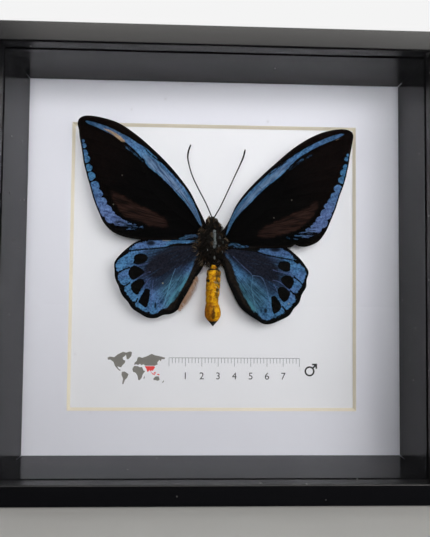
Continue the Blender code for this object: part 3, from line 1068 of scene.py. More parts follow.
HIND_VEINS = {
    "left": (
        ((-10, 12.6), (-20, 12), (-32.3, 10.1), (-45.3, 8.8), (-54.6, 5.9)),
        ((-10, 11), (-22, 9), (-34, 4.6), (-39.1, 1.1), (-50.3, -1.7), (-58.4, -6.1)),
        ((-39.1, 1.1), (-40.3, -3.3), (-38.1, -4.1), (-50.2, -10.8), (-55.7, -14.8)),
        ((-40.3, -3.3), (-37.6, -6.6), (-41.5, -12.6), (-45.3, -19.9), (-47.4, -23.3)),
        ((-37.6, -6.6), (-36.3, -9.3), (-37.1, -15.4), (-37.4, -22.4), (-38.7, -28.5)),
        ((-9, 8), (-16, 1.6), (-23.4, -2.2), (-25.9, -9.2), (-27.6, -15.4), (-30.9, -27.5)),
        ((-23.4, -2.2), (-32, -5.8), (-37.6, -6.6)),
    ),
    "right": (
        ((8.5, 10.7), (16.8, 9.7), (24.2, 8.7), (30.4, 6.7), (38.9, 5.1), (48.5, 3)),
        ((7.4, 8.9), (21, 5.7), (30.3, 1.3), (36.8, -2.9), (44.4, -4.5), (54, -11.6)),
        ((30.3, 1.3), (32.8, -3.9), (34.7, -8.4), (39, -9.6), (45.2, -14.6), (51.1, -19.6)),
        ((32.8, -3.9), (33.7, -8.1), (36.5, -13), (40.6, -23.9), (43.6, -27.1)),
        ((27.2, -6.4), (29.3, -8.9), (31.5, -15.6), (34, -28.9), (34.5, -31.4)),
        ((6.4, 6.8), (10.9, 5.5), (17.1, -0.6), (22.2, -5.7), (21.8, -12.4), (23.6, -21.5), (24.8, -28.2)),
        ((22.2, -5.7), (27.2, -6.4), (29.3, -8.9)),
    ),
}
print("hindwing veins:", {side: len(veins) for side, veins in HIND_VEINS.items()})

# %% Hindwing markings
HIND_MARKS = {
    "left": {
        "spots": (
            ((-48, 4.9), (-45.2, 6.6), (-41.8, 6.4), (-39.6, 4.3), (-40.8, 1.9), (-43.4, 0.6),
             (-46, 0.1), (-48.6, 0.8), (-47.8, 2.7)),
            ((-51.1, -4.7), (-50.2, -7.6), (-48.3, -9), (-45.7, -7.8), (-43.2, -5.9), (-41.4, -4.2),
             (-43.4, -2.3), (-45.6, -1), (-48.8, -0.8)),
            ((-44.1, -8.2), (-42, -8.9), (-41.4, -11.1), (-43.1, -13.9), (-45.3, -17.7),
             (-47.6, -17), (-49.3, -14.4), (-49.4, -11.6), (-47.2, -9.6)),
            ((-40.8, -14), (-38.3, -14.9), (-38.2, -17.6), (-39, -22.5), (-40.4, -25.3),
             (-43.1, -23.6), (-45, -22), (-44.1, -19.7), (-42.4, -16.7)),
        ),
        "smudges": (((-38.1, 12.9), (3.2, 1.7)), ((-34.9, -24), (0.8, 2.4))),
        # A painted shadow: the band just under the forewing's edge, drawn black with the markings.
        "shade": (
            (-28.8, 12.1), (-22.3, 13.5), (-14.8, 13.2), (-10, 12.4), (-14, 11.6), (-22.3, 11.2),
            (-28, 11.3),
        ),
        "bars": (
            ((-54.6, 5.9), (-50.9, 7.9), (-45.3, 8.8), (-34.1, 9.9), (-29.5, 10.4), (-26.2, 11.3),
             (-13.6, 12.8)),
            ((-58.4, -6.1), (-54.6, -3.4), (-50.3, -1.7)),
            ((-55.7, -14.8), (-50.2, -10.8)),
            ((-48, -24.6), (-45.3, -19.9)),
        ),
        "pale": (
            ((-50.3, -1.7), (-44.5, -0.6), (-39.1, 1.1)),
            ((-50.2, -10.8), (-45, -7.4), (-40.7, -5), (-38.1, -4.1)),
            ((-45.3, -19.9), (-40.6, -11.1), (-38.1, -7.6)),
            ((-38.7, -28.5), (-37.4, -22.4), (-37.1, -15.4), (-36.3, -9.3)),
            ((-30.9, -27.5), (-27.6, -15.4), (-25.9, -9.2), (-23.4, -2.2)),
        ),
        "smoke": (
            (-10, 13.6), (-22.7, 11.6), (-29.2, 9.2), (-34.8, 5.6), (-39.5, 1), (-40.6, -3.3),
            (-37.6, -6.8), (-32, -6.8), (-27.7, -4.2), (-23.4, -1.6), (-17.3, 1.1), (-11.7, 5.6),
        ),
        "haze": (
            (-10, 14), (-30, 9.6), (-38, 8.6), (-44, 5), (-45.5, -2), (-45, -9),
            (-40, -14), (-33, -13), (-26, -8), (-18, -3), (-11.7, 4.6),
        ),
        "inner": (
            (-11.1, 4.5), (-12.8, 0), (-15.4, -6), (-18, -11.4), (-21.5, -17.4), (-25, -22),
            (-30, -27.2), (-30, -34), (0, -34), (0, 6),
        ),
        "teal": (-22, -15),
        "speck": (-30.7, -10.8),
        "nicks": (((-31, 14.7), (-26.6, 14.8)),),
        "upper_margin": -0.1,
        "blue_strip": (-60, -8),
    },
    "right": {
        "spots": (
            ((37.6, 0), (38.6, 2.5), (41.3, 3.2), (44.6, 2.4), (45.2, -0.3), (44.6, -2.9),
             (42.2, -3.2), (39.2, -1.8)),
            ((39.7, -7), (42.3, -5.4), (45.4, -5.8), (47.3, -8.3), (47, -10.9), (45, -13.5),
             (42.6, -12.3), (40, -9.6)),
            ((37.6, -13.4), (40.6, -12.2), (43.6, -14), (45.1, -15.8), (44.1, -19.4), (41.5, -21.4),
             (39.2, -19.4), (37.9, -16.8)),
            ((33.8, -18.3), (36, -17.6), (38.3, -20.4), (39.8, -23.6), (39.1, -26.2), (35.5, -28.3),
             (34.2, -25.1), (33.8, -21.8)),
        ),
        "smudges": (((36, 9.9), (4, 1.5)), ((30.4, -26.5), (1.2, 2))),
        # A painted shadow: the band just under the forewing's edge, drawn black with the markings.
        "shade": (
            (5, 14), (14, 14.4), (23, 13.6), (27.4, 10.6), (25, 8.4), (16, 9.6), (7, 10.8),
        ),
        "bars": (
            ((8.5, 10.7), (16.8, 9.7), (24.2, 8.7), (30.4, 6.7), (38.9, 5.1), (46.4, 3.9), (49.6, 2.6)),
            ((47.3, -6.2), (50.7, -8.9), (54.5, -11.8)),
            ((45.2, -14.6), (48, -17.1), (51.5, -20)),
            ((40.6, -23.9), (42.4, -26.3), (44.3, -28)),
        ),
        "pale": (
            ((34.7, -2.1), (36.8, -2.9), (44.4, -4.5), (47.3, -6.2)),
            ((34.7, -8.4), (39, -9.6), (45.2, -14.6)),
            ((34.8, -10.5), (36.5, -13), (40.6, -23.9)),
            ((29.3, -8.9), (31.5, -15.6), (34, -28.9), (34.5, -31.4)),
            ((21.8, -12.4), (23.6, -21.5), (24.8, -28.2)),
            ((22.2, -5.7), (27.2, -6.4), (29.3, -8.9)),
            ((10.9, 5.5), (17.1, -0.6), (22.2, -5.7), (21.8, -12.4)),
        ),
        "smoke": (
            (6.4, 12), (16.8, 10.8), (24.2, 8.3), (29.8, 5.5), (35.7, 1.2), (37.6, -2.5),
            (38.1, -7.1), (34.7, -9), (29.7, -8.3), (27.2, -6.2), (22.2, -5.2), (15.9, 0.5),
            (9.5, 5.3),
        ),
        "haze": (
            (6.4, 12), (24.1, 8.9), (34.5, 5.1), (40.2, 3.2), (42.8, -3.3), (43.3, -10.6),
            (40.7, -14.8), (35.5, -16.9), (31.4, -13.7), (26.2, -8.5), (17.8, -3.3), (9.5, 4.1),
        ),
        "inner": (
            (7.9, 4.3), (10.9, -1.6), (13.1, -7.4), (15.2, -13.2), (17.8, -18.2), (20.3, -22.8),
            (23.7, -27.8), (26, -36), (0, -34), (0, 6),
        ),
        "teal": (19.9, -19),
        "speck": (44.3, -22.2),
        "nicks": (),
        "upper_margin": 0.7,
        "blue_strip": (23, 60),
    },
}
MARGIN_BLACK = 1.6
MARGIN_LOW = 1.0
MARGIN_CUSP = 1.2
PALE_HALF = 0.17
BAR_HALF = 0.45
BAR_FLARE = 0.9
BODY = (-1.0, 10.0)
FAR_OUTSIDE = -5.0


def flared(flat, bar):
    """Distance inside a bar that widens where it meets the margin."""
    outer = max(bar, key=lambda end: math.dist(end, BODY))
    return streak(flat, bar, BAR_HALF) + BAR_FLARE * hump(away(flat, outer), 1.6)


def mark_hindwing(side, flat, rim, to_vein):
    """The marking distances of one hindwing."""
    marks = HIND_MARKS[side]
    x, z = flat.T
    spots = np.max([patch(flat, spot) for spot in marks["spots"]], axis=0)
    smudges = [1 - away(flat / size, np.divide(place, size)) for place, size in marks["smudges"]]
    bars = np.max([flared(flat, bar) for bar in marks["bars"]], axis=0)
    slow = 0.35 * np.sin(0.35 * x + 0.22 * z) + marks["upper_margin"] * ease(z, -3.0, 4.0)
    margin = MARGIN_BLACK + slow + MARGIN_LOW * ease(-z, 8.0, 15.0)
    margin = margin + MARGIN_CUSP * hump(to_vein, 1.1) - rim
    teal = 1 - ease(away(flat, marks["teal"]), 6.0, 17.0)
    low, high = marks["blue_strip"]
    above_bar = z - np.interp(x, *np.array(sorted(marks["bars"][0])).T)
    strip = ease(np.minimum.reduce([above_bar - BAR_HALF, x - low, high - x]), -0.2, 0.4)
    nicks = [streak(flat, nick, 0.35) for nick in marks["nicks"]]
    return {
        # The black also holds the painted shadow under the forewing's edge.
        "black": np.maximum.reduce([spots, bars, margin, patch(flat, marks["shade"]) - 0.4]),
        "torn": ease(margin, -1.5, 0.0) * ease(-spots, 0.5, 1.5),
        "smudge": np.max(smudges, axis=0),
        # Painted shade over the right wing, strongest on its teal, a darker teal on both wings, and a painted
        # shadow of the forewing on the blue strip under it.
        "dim_and_shade": SHADED[side] * (0.75 + teal) + 0.08 * teal + 0.16 * strip,
        "pale": np.minimum(streaks(flat, marks["pale"], PALE_HALF), -spots),
        "smoke": ease(patch(flat, marks["smoke"]), -2.6, 1.2) * (1 - strip),
        "haze": ease(patch(flat, marks["haze"]), -4.0, 1.5) * (1 - strip),
        "inner": patch(flat, marks["inner"], 2.0),
        "teal": teal,
        "speck": 0.5 - away(flat, marks["speck"]),
        "nick": np.max([*nicks, np.full_like(x, FAR_OUTSIDE)], axis=0),
    }


print("hindwing markings:", list(HIND_MARKS["left"]))

# %% [markdown]
# The hindwing is built up like a painting, from the ground colour to the last speck: blue,
# teal, haze, smoke, pale veins, painted shade, soot, the brown strip, and the black markings
# over all, among them a painted shadow under the forewing.

# %% Hindwing finish
def hindwing_ground(here, scales, teal):
    """Blue that turns to teal, with pale comb marks beside the brown inner strip."""
    shade, lines = scales["Shade"], scales["Streak"]
    deep = mix(shade, colour(8, 36, 68), colour(94, 148, 197))
    violet = mix(shade, colour(14, 36, 70), colour(105, 141, 197))
    blue = mix(here.noise(60.0, 2.0).rise(0.42, 0.60), deep, violet)
    green = mix(shade * 0.45 + lines * 0.55, colour(0, 14, 34), colour(84, 132, 160))
    blue = mix(teal * 0.95, blue, green)
    glow = number_at(here, "inner").rise(-3.2, -1.0) * lines * teal
    return mix(glow * 0.8, blue, colour(84, 150, 166))


def hindwing_blue(here, scales, rows):
    """The ground under haze, smoke, pale veins, painted shade and shadow, soot and the brown inner strip."""
    shade, lines, teal = scales["Shade"], scales["Streak"], number_at(here, "teal")
    blue = hindwing_ground(here, scales, teal)
    haze = number_at(here, "haze") * (lines * 0.9 + 0.45).clamped()
    blue = mix(haze * 0.9, blue, colour(24, 22, 38))
    smoke = number_at(here, "smoke") * (lines + 0.7).clamped()
    blue = mix(smoke * 0.95, blue, mix(shade, colour(3, 3, 5), colour(35, 34, 44)))
    light = mix(teal, colour(86, 98, 146), colour(104, 156, 184))
    blue = mix(border(here, "pale", 0.3, 900.0, 0.25) * 0.66, blue, light)
    # Painted shade and the painted shadow of the forewing, as a darker blue.
    blue = mix(number_at(here, "dim_and_shade"), blue, colour(6, 16, 30))
    soot = (number_at(here, "smudge") + shade * 0.5).rise(0.1, 0.8)
    blue = mix(soot * 0.95, blue, colour(14, 16, 26))
    inner = border(rows.stretched(1.0, 0.3, 1.0), "inner", 1.1, 900.0, 0.5)
    return mix(inner, blue, mix(shade, colour(6, 5, 4), colour(38, 31, 27)))


def hindwing_finish(name):
    made, shader, here = new_finish(name, roughness=0.62, specular=0.03)
    rows = along_rows(here)
    scales = use(here, WING_SCALES, Rows=rows)
    teeth = number_at(here, "torn") + 0.4
    black = border(here, "black", teeth, 900.0, 0.22)
    velvet = mix(scales["Shade"], VELVET, (0.0034, 0.0030, 0.0030))
    skin = mix(black, hindwing_blue(here, scales, rows), velvet)
    speck = border(here, "speck", 0.1, 2500.0, 0.2)
    nick = border(here, "nick", 0.3, 1500.0, 0.2)
    skin = mix(calc("MAXIMUM", speck, nick) * 0.8, skin, colour(150, 140, 118))
    metal = (1.0 - black) * 0.12
    feed(shader, Base_Color=skin, Metallic=metal, Normal=bump(scales["Height"], 0.4, 0.06))
    return made


hindwing_skin = hindwing_finish("hindwing_scales")
for side, outline in (("left", HIND_LEFT), ("right", HIND_RIGHT)):
    veins = HIND_VEINS[side]
    add_wing(side, "hindwing", outline, veins, HINDWING_DEPTH, 0.14, mark_hindwing, hindwing_skin)

# %% [markdown]
# ## The body under the fur
# A dried butterfly has three body parts. The thorax is a hard egg that holds the flight
# muscles, the head a small ball with two large faceted eyes and a pair of palps, and the
# abdomen a soft tube of rings that shrinks as it dries. The egg and the ball hardly show
# under their fur, so they are plain lofted forms with dents; the fur comes after them.

# %% Lofted forms
def lofted(rings):
    """Points and faces of a closed form through rings with the same number of points."""
    size = len(rings[0])
    points = np.vstack(rings)
    last = (len(rings) - 1) * size
    faces = [tuple(range(size))[::-1], tuple(range(last, last + size))]
    for row in range(0, last, size):
        for i in range(size):
            a, b = row + i, row + (i + 1) % size
            faces.append((a, b, b + size, a + size))
    return points, faces


def turns(count):
    """Angles evenly round a full turn."""
    return np.linspace(0, 2 * np.pi, count, endpoint=False)


def egg(centre, half, dent=0.0, rows=40, around=56):
    """A rounded form with shallow dents, from its lowest ring to its highest."""
    turn = turns(around)
    rings = []
    for up in np.linspace(-0.985, 0.985, rows):
        level = math.sin(up * math.pi / 2)
        width = math.sqrt(max(1 - level ** 2, 0.0)) ** 0.85
        ripple = 1 + dent * np.sin(5 * turn + 4 * level) * np.sin(6 * level)
        way = np.column_stack([
            width * ripple * np.cos(turn), width * ripple * np.sin(turn), np.full(around, level)
        ])
        rings.append(centre + half * way)
    return rings


def body_finish(name, dark, light, roughness):
    made, shader, here = new_finish(name, roughness=roughness, specular=0.12)
    grain = use(here, FINE_GRAIN, Scale=3000.0)
    shade = mix(grain["Shade"], dark, light)
    feed(shader, Base_Color=shade, Normal=bump(grain["Height"], 0.5, 0.1))
    return made


HEAD_DROP = np.array([0.0, 0.0, 0.7])
THORAX, THORAX_HALF = span("thorax")
HEAD, HEAD_HALF = span("head")
HEAD = HEAD - HEAD_DROP
COLLAR = np.array([-0.9, 6.8, 22.4])
COLLAR_HALF = np.array([4.2, 3.8, 4.6])

shell = body_finish("body_shell", colour(4, 3, 3), colour(20, 16, 13), 0.6)
for name, centre, half, node, replaced in (
    ("thorax_shell", THORAX, 0.9 * THORAX_HALF, "thorax", ("thorax",)),
    ("collar_shell", COLLAR, 0.9 * COLLAR_HALF, "thorax", ()),
    ("head_shell", HEAD, 0.92 * HEAD_HALF, "head", ("head",)),
):
    add_piece(name, *lofted(egg(centre, half, 0.03)), shell, node, replaced)


# %% Eyes
EYE_HALF = np.array([1.25, 1.5, 1.7])
EYE_PLACES = {"left_eye": (-2.5, -0.7, -0.1), "right_eye": (2.5, -0.7, -0.1)}


def eye_finish(name):
    made, shader, here = new_finish(name, roughness=0.22)
    near = here.cells(5600.0)
    shade = mix(near, colour(62, 46, 34), colour(20, 14, 10))
    feed(shader, Base_Color=shade, Normal=bump(near, 0.7, 0.05, invert=True))
    return made


eye_skin = eye_finish("eye_facets")
for name, place in EYE_PLACES.items():
    add_piece(name, *lofted(egg(HEAD + place, EYE_HALF, rows=20, around=32)), eye_skin, "head")

# %% [markdown]
# ## The abdomen
# The abdomen has seven visible rings. Each swells a little and tucks under the next, with a
# crease between them. The yellow is a dense coat of short scales; it is rubbed greenish and
# dark along one side, has a brown mark over the last rings, and ends in a black cone. The
# rings are lofted from stations down its length, and a wave on the radius makes the tucks.

# %% Abdomen form
# Height, middle, half width, depth of the middle and half depth at each station.
ABDOMEN = (
    (1.6, -0.8, 1.7, 7.6, 1.9), (0, -0.7, 2.15, 7.6, 2.4), (-1.7, -0.65, 2.5, 7.6, 2.8),
    (-3.3, -0.55, 4.1, 7.6, 3.5), (-7, -0.75, 4.25, 7.8, 3.6), (-11, -0.95, 4.25, 7.9, 3.7),
    (-15, -1.05, 4.2, 8, 3.7), (-19, -1.35, 3.9, 8.1, 3.5), (-21.6, -1.45, 3.75, 8.2, 3.4),
    (-24.5, -1.15, 4.3, 8.3, 3.7), (-27.5, -1, 4.8, 8.4, 4), (-30, -0.95, 4.6, 8.5, 3.8),
    (-32, -0.9, 3.5, 8.6, 3.2), (-33.4, -0.9, 2.3, 8.7, 2.2), (-34.8, -0.9, 1.1, 8.8, 1.1),
    (-36, -0.9, 0.15, 8.9, 0.15),
)
CREASES = (-1.9, -6.4, -10.3, -14.6, -18.8, -22.6)
RING_SWELL = 0.24
ABDOMEN_AROUND = 72


def abdomen_rings():
    turn = turns(ABDOMEN_AROUND)
    rings = []
    for z, cx, half_width, cy, half_depth in smooth_line(ABDOMEN, 0.25)[::-1]:
        tuck = min(abs(z - crease) for crease in CREASES)
        swell = RING_SWELL * (ease(tuck, 0.0, 1.4) - 1) + 0.05 * np.sin(7 * turn + 3 * z) * np.sin(1.9 * z)
        x = cx + (half_width + swell) * np.cos(turn)
        y = cy + (half_depth + swell) * np.sin(turn)
        rings.append(np.column_stack([x, y, z + 0.18 * np.sin(3 * turn + 0.4 * z)]))
    return rings


print("abdomen rings:", len(CREASES) + 1)

# %% Abdomen coat
# Black patches: middle x and z, half width and half height.
ABDOMEN_BLACK = (
    ((-3.0, -2.4), (1.5, 0.55)), ((2.2, -2.2), (1.7, 0.8)), ((-0.4, -2.6), (2.6, 0.3)),
    ((-3.9, -9.0), (1.0, 0.8)),
)
ABDOMEN_TIP = -32.8
ABDOMEN_MARK = np.array([(-0.5, -24.6), (-0.5, -27.5), (-0.7, -30.6)])


def abdomen_finish(name):
    made, shader, here = new_finish(name, roughness=0.6, specular=0.1)
    grain = use(here, FINE_GRAIN, Stretch=(1.0, 1.0, 0.35), Scale=2600.0)
    blotch = here.noise(620.0, 4.0).rise(0.38, 0.62)
    flecks = here.stretched(1.0, 1.0, 0.7).noise(520.0, 4.0).rise(0.37, 0.55)
    skin = mix(blotch, colour(168, 104, 2), colour(232, 172, 12))
    skin = mix(grain["Shade"] * 0.3, skin, colour(140, 84, 4))
    skin = mix(border(here, "crease", 0.7, 500.0, 0.35) * 0.4, skin, colour(96, 54, 6))
    skin = mix(number_at(here, "rubbed") * flecks * 0.92, skin, colour(58, 46, 22))
    amber = mix(flecks, colour(172, 96, 2), colour(112, 56, 4))
    skin = mix(number_at(here, "amber") * 0.75, skin, amber)
    skin = mix(border(here, "mark", 0.9, 900.0, 0.6) * 0.85, skin, colour(52, 26, 6))
    skin = mix(border(here, "black", 0.8, 700.0, 0.25), skin, colour(12, 10, 9))
    feed(shader, Base_Color=skin, Normal=bump(grain["Height"], 0.5, 0.12))
    return made


def mark_abdomen(points):
    """The marking distances of the abdomen."""
    x, _, z = points.T
    flat = points[:, [0, 2]]
    patches = [0.7 * (1 - away(flat / size, np.divide(place, size))) for place, size in ABDOMEN_BLACK]
    right_side = ease(x, -0.3, 1.0) * ease(z, -23.0, -17.0)
    left_side = ease(-x, 3.0, 4.2) * ease(z, -16.0, -9.0)
    top = 0.7 * ease(z, -4.6, -3.0) * ease(np.abs(x + 0.6), 0.6, 2.0)
    waist = 0.7 * (z - 0.1 + 0.08 * (x + 0.7) ** 2)
    return {
        "crease": 0.3 - np.min([np.abs(z - crease) for crease in CREASES], axis=0),
        "rubbed": np.maximum.reduce([right_side, left_side, top]),
        "amber": ease(-z, 19.0, 25.0) * ease(-x, -1.0, 2.6),
        "mark": 0.62 - line_distance(flat, ABDOMEN_MARK) + 0.5 * ease(-z, 26.0, 29.5),
        "black": np.maximum.reduce([ABDOMEN_TIP - z, *patches, waist]),
    }


points, faces = lofted(abdomen_rings())
coat = abdomen_finish("abdomen_coat")
set_values(add_piece("abdomen_rings", points, faces, coat, "abdomen", ("abdomen",)), mark_abdomen(points))

# %% [markdown]
# ## The fur
# Fur is what makes the body look real. Each hair is a thin three-sided spike, bent a little
# along its length, so the whole coat is one plain mesh. The hairs grow out of the thorax and
# the head, lie back towards the tail, and are longest where the wings join. Two values on
# every point tell the shader how pale a hair is and how far along it a point lies.

# %% Hair
HAIR_LEVELS = np.array((0.0, 0.4, 0.75))


def hair_faces(count):
    """The faces of some hairs, each of three rings of three points and a tip."""
    one = [(2, 1, 0)]
    for low in range(0, len(HAIR_LEVELS) * 3, 3):
        for a, b in ((0, 1), (1, 2), (2, 0)):
            top = (b + 3, a + 3) if low < 6 else (9 - low,)
            one.append(tuple(low + corner for corner in (a, b, *top)))
    size = len(HAIR_LEVELS) * 3 + 1
    return [tuple(i + hair * size for i in face) for hair in range(count) for face in one]


def hair_mesh(name, hairs, droop, finish, slot, seed):
    """Spikes from roots along aims; droop pulls each tip a share of its length that way."""
    roots, aims, lengths, widths, tones = hairs
    random = np.random.default_rng(seed)
    count = len(roots)
    aims = aims / np.linalg.norm(aims, axis=1)[:, None]
    side = np.cross(aims, random.normal(size=(count, 3)))
    side /= np.linalg.norm(side, axis=1)[:, None]
    up = np.cross(aims, side)
    curl = side * random.normal(0.0, 0.16, (count, 1)) + droop
    rings = []
    for level in HAIR_LEVELS:
        spine = roots + aims * (lengths * level)[:, None] + curl * (lengths * level ** 2)[:, None]
        thick = (widths * (1 - 0.75 * level))[:, None]
        rings += [spine + (side * math.cos(turn) + up * math.sin(turn)) * thick for turn in turns(3)]
    rings.append(roots + (aims + curl) * lengths[:, None])
    points = np.stack(rings, axis=1).reshape(-1, 3)
    along = np.append(np.repeat(HAIR_LEVELS, 3), 1.0)
    piece = add_piece(name, points, hair_faces(count), finish, slot)
    set_values(piece, {"tone": np.repeat(tones, len(along)), "along": np.tile(along, count)})


print("faces of one hair:", len(hair_faces(1)))


# %% Hair finishes
def hair_finish(name, ramp, tips, fade):
    """Hair whose tone picks a colour from a ramp of (share, colour), fading to its tips."""
    made, shader, here = new_finish(name, roughness=0.55, specular=0.08)
    strand = add(here.tree, "ShaderNodeValToRGB", {0: number_at(here, "tone")})
    stops = strand.socket.node.color_ramp.elements
    for stop, (_, paint) in zip(stops, (ramp[0], ramp[-1])):
        stop.color = (*colour(*paint), 1.0)
    for share, paint in ramp[1:-1]:
        stops.new(share).color = (*colour(*paint), 1.0)
    fine = here.noise(5200.0)
    lit = mix(number_at(here, "along") * fade, strand, colour(*tips))
    feed(shader, Base_Color=mix(fine * 0.4, lit, (0.004, 0.003, 0.003)), Normal=bump(fine, 0.2, 0.03))
    return made


COAT = (
    (0, (7, 6, 6)), (0.35, (26, 20, 17)), (0.6, (96, 74, 54)), (0.8, (150, 132, 106)),
    (1, (186, 192, 190)),
)
HAIR = hair_finish("dry_hair", COAT, (80, 66, 52), 0.12)
STREAK_HAIR = hair_finish("streak_hair", ((0, (52, 56, 58)), (1, (186, 196, 198))), (158, 168, 170), 0.2)
FOLD_HAIR = hair_finish("fold_hair", ((0, (186, 146, 120)), (1, (240, 198, 166))), (200, 160, 134), 0.3)


print("hair finishes:", HAIR.name, STREAK_HAIR.name, FOLD_HAIR.name)

# %% [markdown]
# A coat of evenly scattered hairs looks like a brush. Real fur clumps, so neighbouring
# hairs are gathered into locks that share a tone and a lean.

# %% Roots and locks
def on_egg(random, centre, half, count):
    """Random places on the side of an egg that the viewer sees, and the way out of it there."""
    way = random.normal(size=(count, 3))
    way[:, 1] = -np.abs(way[:, 1]) * 0.9 + 0.35 * random.random(count)
    way /= np.linalg.norm(way, axis=1)[:, None]
    out = way / half
    return centre + way * half, out / np.linalg.norm(out, axis=1)[:, None]


def locks(random, roots, size, dark, brown):
    """Neighbouring hairs form locks: each lock has a tone and leans its own way."""
    count = max(3, int(np.ptp(roots[:, 0]) * np.ptp(roots[:, 2]) / size ** 2))
    middles = roots[random.integers(0, len(roots), count)]
    nearest = np.argmin(np.linalg.norm(roots[:, None, :] - middles[None], axis=2), axis=1)
    is_brown = random.random(count) < brown
    tones = np.where(is_brown, random.uniform(0.45, 0.66, count), dark * random.random(count))
    leans = random.normal(0, 0.38, (count, 3))
    return tones[nearest] + random.normal(0, 0.05, len(roots)), leans[nearest]


def joined(*coats):
    """Several coats of hair as one."""
    return [np.concatenate(parts) for parts in zip(*coats)]


print("thorax middle", THORAX.round(1), "head middle", HEAD.round(1))

# %% Thorax fur
STREAK_LINE = np.array([(-0.45, 20.6), (-0.45, 17.4), (-0.15, 14.0), (-0.5, 10.6)])
STREAK_HAIRS = 280


def thorax_fur():
    random = np.random.default_rng(11)
    thorax = on_egg(random, THORAX, 0.9 * THORAX_HALF, 5000)
    roots, out = joined(thorax, on_egg(random, COLLAR, 0.9 * COLLAR_HALF, 1500))
    tones, leans = locks(random, roots, 1.3, 0.34, 0.12)
    aims = out * 0.6 + leans + np.array([0.0, -0.1, -0.65]) + random.normal(0, 0.14, out.shape)
    edge = ease(np.abs(roots[:, 0] - THORAX[0]), 3.2, 6.0)
    lengths = 1.5 + 0.9 * random.random(len(roots)) + 0.9 * edge
    front = roots[:, 1] < THORAX[1] - 2.0
    covered = front & (line_distance(roots[:, [0, 2]], STREAK_LINE) < 1.1)
    widths = 0.09 + 0.06 * random.random(len(roots))
    return roots, aims, np.where(covered, 0.7, lengths), widths, np.clip(tones, 0.0, 1.0)


# Small pale wisps beside the streak: x, z and the number of hairs.
WISPS = ((-0.3, 4.8, 44), (4.7, 13.9, 9), (4.3, 8.3, 8), (2.6, 16.2, 5), (-4.6, 9.4, 6), (2.2, 11.6, 6))


def egg_front(x, z, centre, half):
    """How deep the front of an egg lies behind the glass at each place."""
    left = 1 - ((x - centre[0]) / half[0]) ** 2 - ((z - centre[2]) / half[2]) ** 2
    return centre[1] - half[1] * np.sqrt(np.clip(left, 0.0, 1.0))


def streak_fur():
    """Pale bluish hairs in a narrow line down the middle of the back, and a few wisps."""
    random = np.random.default_rng(15)
    line = smooth_line(STREAK_LINE, 0.1)
    picks = line[random.integers(0, len(line), STREAK_HAIRS)]
    wide = 0.26 + 0.2 * hump(picks[:, 1] - 12.6, 1.8) + 0.16 * (picks[:, 1] > 17.0)
    picks = picks + random.normal(0, 1, picks.shape) * np.column_stack([wide, 0 * wide])
    picks = np.vstack([picks] + [random.normal((x, z), 0.28, (count, 2)) for x, z, count in WISPS])
    x, z = picks.T
    count = len(picks)
    y = np.minimum(egg_front(x, z, THORAX, THORAX_HALF), egg_front(x, z, COLLAR, COLLAR_HALF)) - 0.3
    roots = np.column_stack([x, y - 0.4 * np.abs(x - THORAX[0]), z])
    aims = np.column_stack([
        random.normal(0, 0.26, count), random.normal(-0.12, 0.06, count), np.full(count, -1.0),
    ])
    return roots, aims, 0.9 + 0.6 * random.random(count), np.full(count, 0.07), random.random(count) ** 1.3


hair_mesh("thorax_fur", thorax_fur(), (0.0, 0.05, -0.2), HAIR, "thorax", 12)
hair_mesh("thorax_streak", streak_fur(), (0.0, 0.03, -0.1), STREAK_HAIR, "thorax", 14)


# %% [markdown]
# The head carries shorter, stiffer fur in dark and brown locks, and two palps: furry
# feelers that reach up in front of the face. Long hairs also cover the joints, where the
# wings leave the thorax.

# %% Head, palp and wing joint fur
PALPS = (((-1.5, -0.8), (-2.4, 1.2), (-1.5, 2.3)), ((0.9, -1.0), (1.2, 0.7), (0.7, 1.9)))
PALP_HAIRS = 240


def head_fur():
    random = np.random.default_rng(21)
    roots, out = on_egg(random, HEAD, 0.93 * HEAD_HALF, 1300)
    tones, leans = locks(random, roots, 0.8, 0.4, 0.16)
    aims = out + leans + np.array([0.0, -0.1, -0.35])
    return roots, aims, 0.6 + 0.5 * random.random(len(roots)), np.full(len(roots), 0.08), np.clip(tones, 0, 1)


def palp_fur(route, tone, seed):
    """Short hairs around a bent line in front of the face, given from the middle of the head."""
    random = np.random.default_rng(seed)
    count = PALP_HAIRS
    line = smooth_line(route, 0.05)
    picks = line[random.integers(0, len(line), count)] + random.normal(0, 0.16, (count, 2))
    roots = np.column_stack([HEAD[0] + picks[:, 0], np.full(count, HEAD[1] - 2.9), HEAD[2] + picks[:, 1]])
    aims = np.column_stack([random.normal(0, 0.3, count), random.normal(-0.5, 0.2, count), np.ones(count)])
    lengths = 0.5 + 0.3 * random.random(count)
    return roots, aims, lengths, np.full(count, 0.09), tone + random.normal(0, 0.08, count)


TUFTS = (
    # middle x and z, direction, number, spread, length, share of pale locks
    (-8, 19.2, (-0.4, -0.65), 190, (1, 2), 2, 0.22),
    (-9.4, 12, (-1, 0.3), 190, (1.6, 1.8), 2.7, 0.28),
    (-8.2, 6, (-0.8, -0.75), 190, (1.2, 2), 2.6, 0.25),
    (3.8, 19, (0.6, -0.6), 110, (0.8, 2), 1.7, 0.12),
    (4.9, 13.2, (0.9, -0.3), 150, (0.9, 1.7), 2, 0.22),
    (4.4, 7.6, (0.6, -0.6), 150, (1, 1.9), 2, 0.12),
    (-4.4, 1.8, (-0.3, -0.9), 200, (1.6, 1), 2.2, 0.25),
    (1.8, 1.6, (0.2, -0.9), 200, (1.6, 1), 2.2, 0.08),
    (-0.8, 0.9, (0, -0.9), 170, (1.5, 0.6), 1.7, 0.06),
)


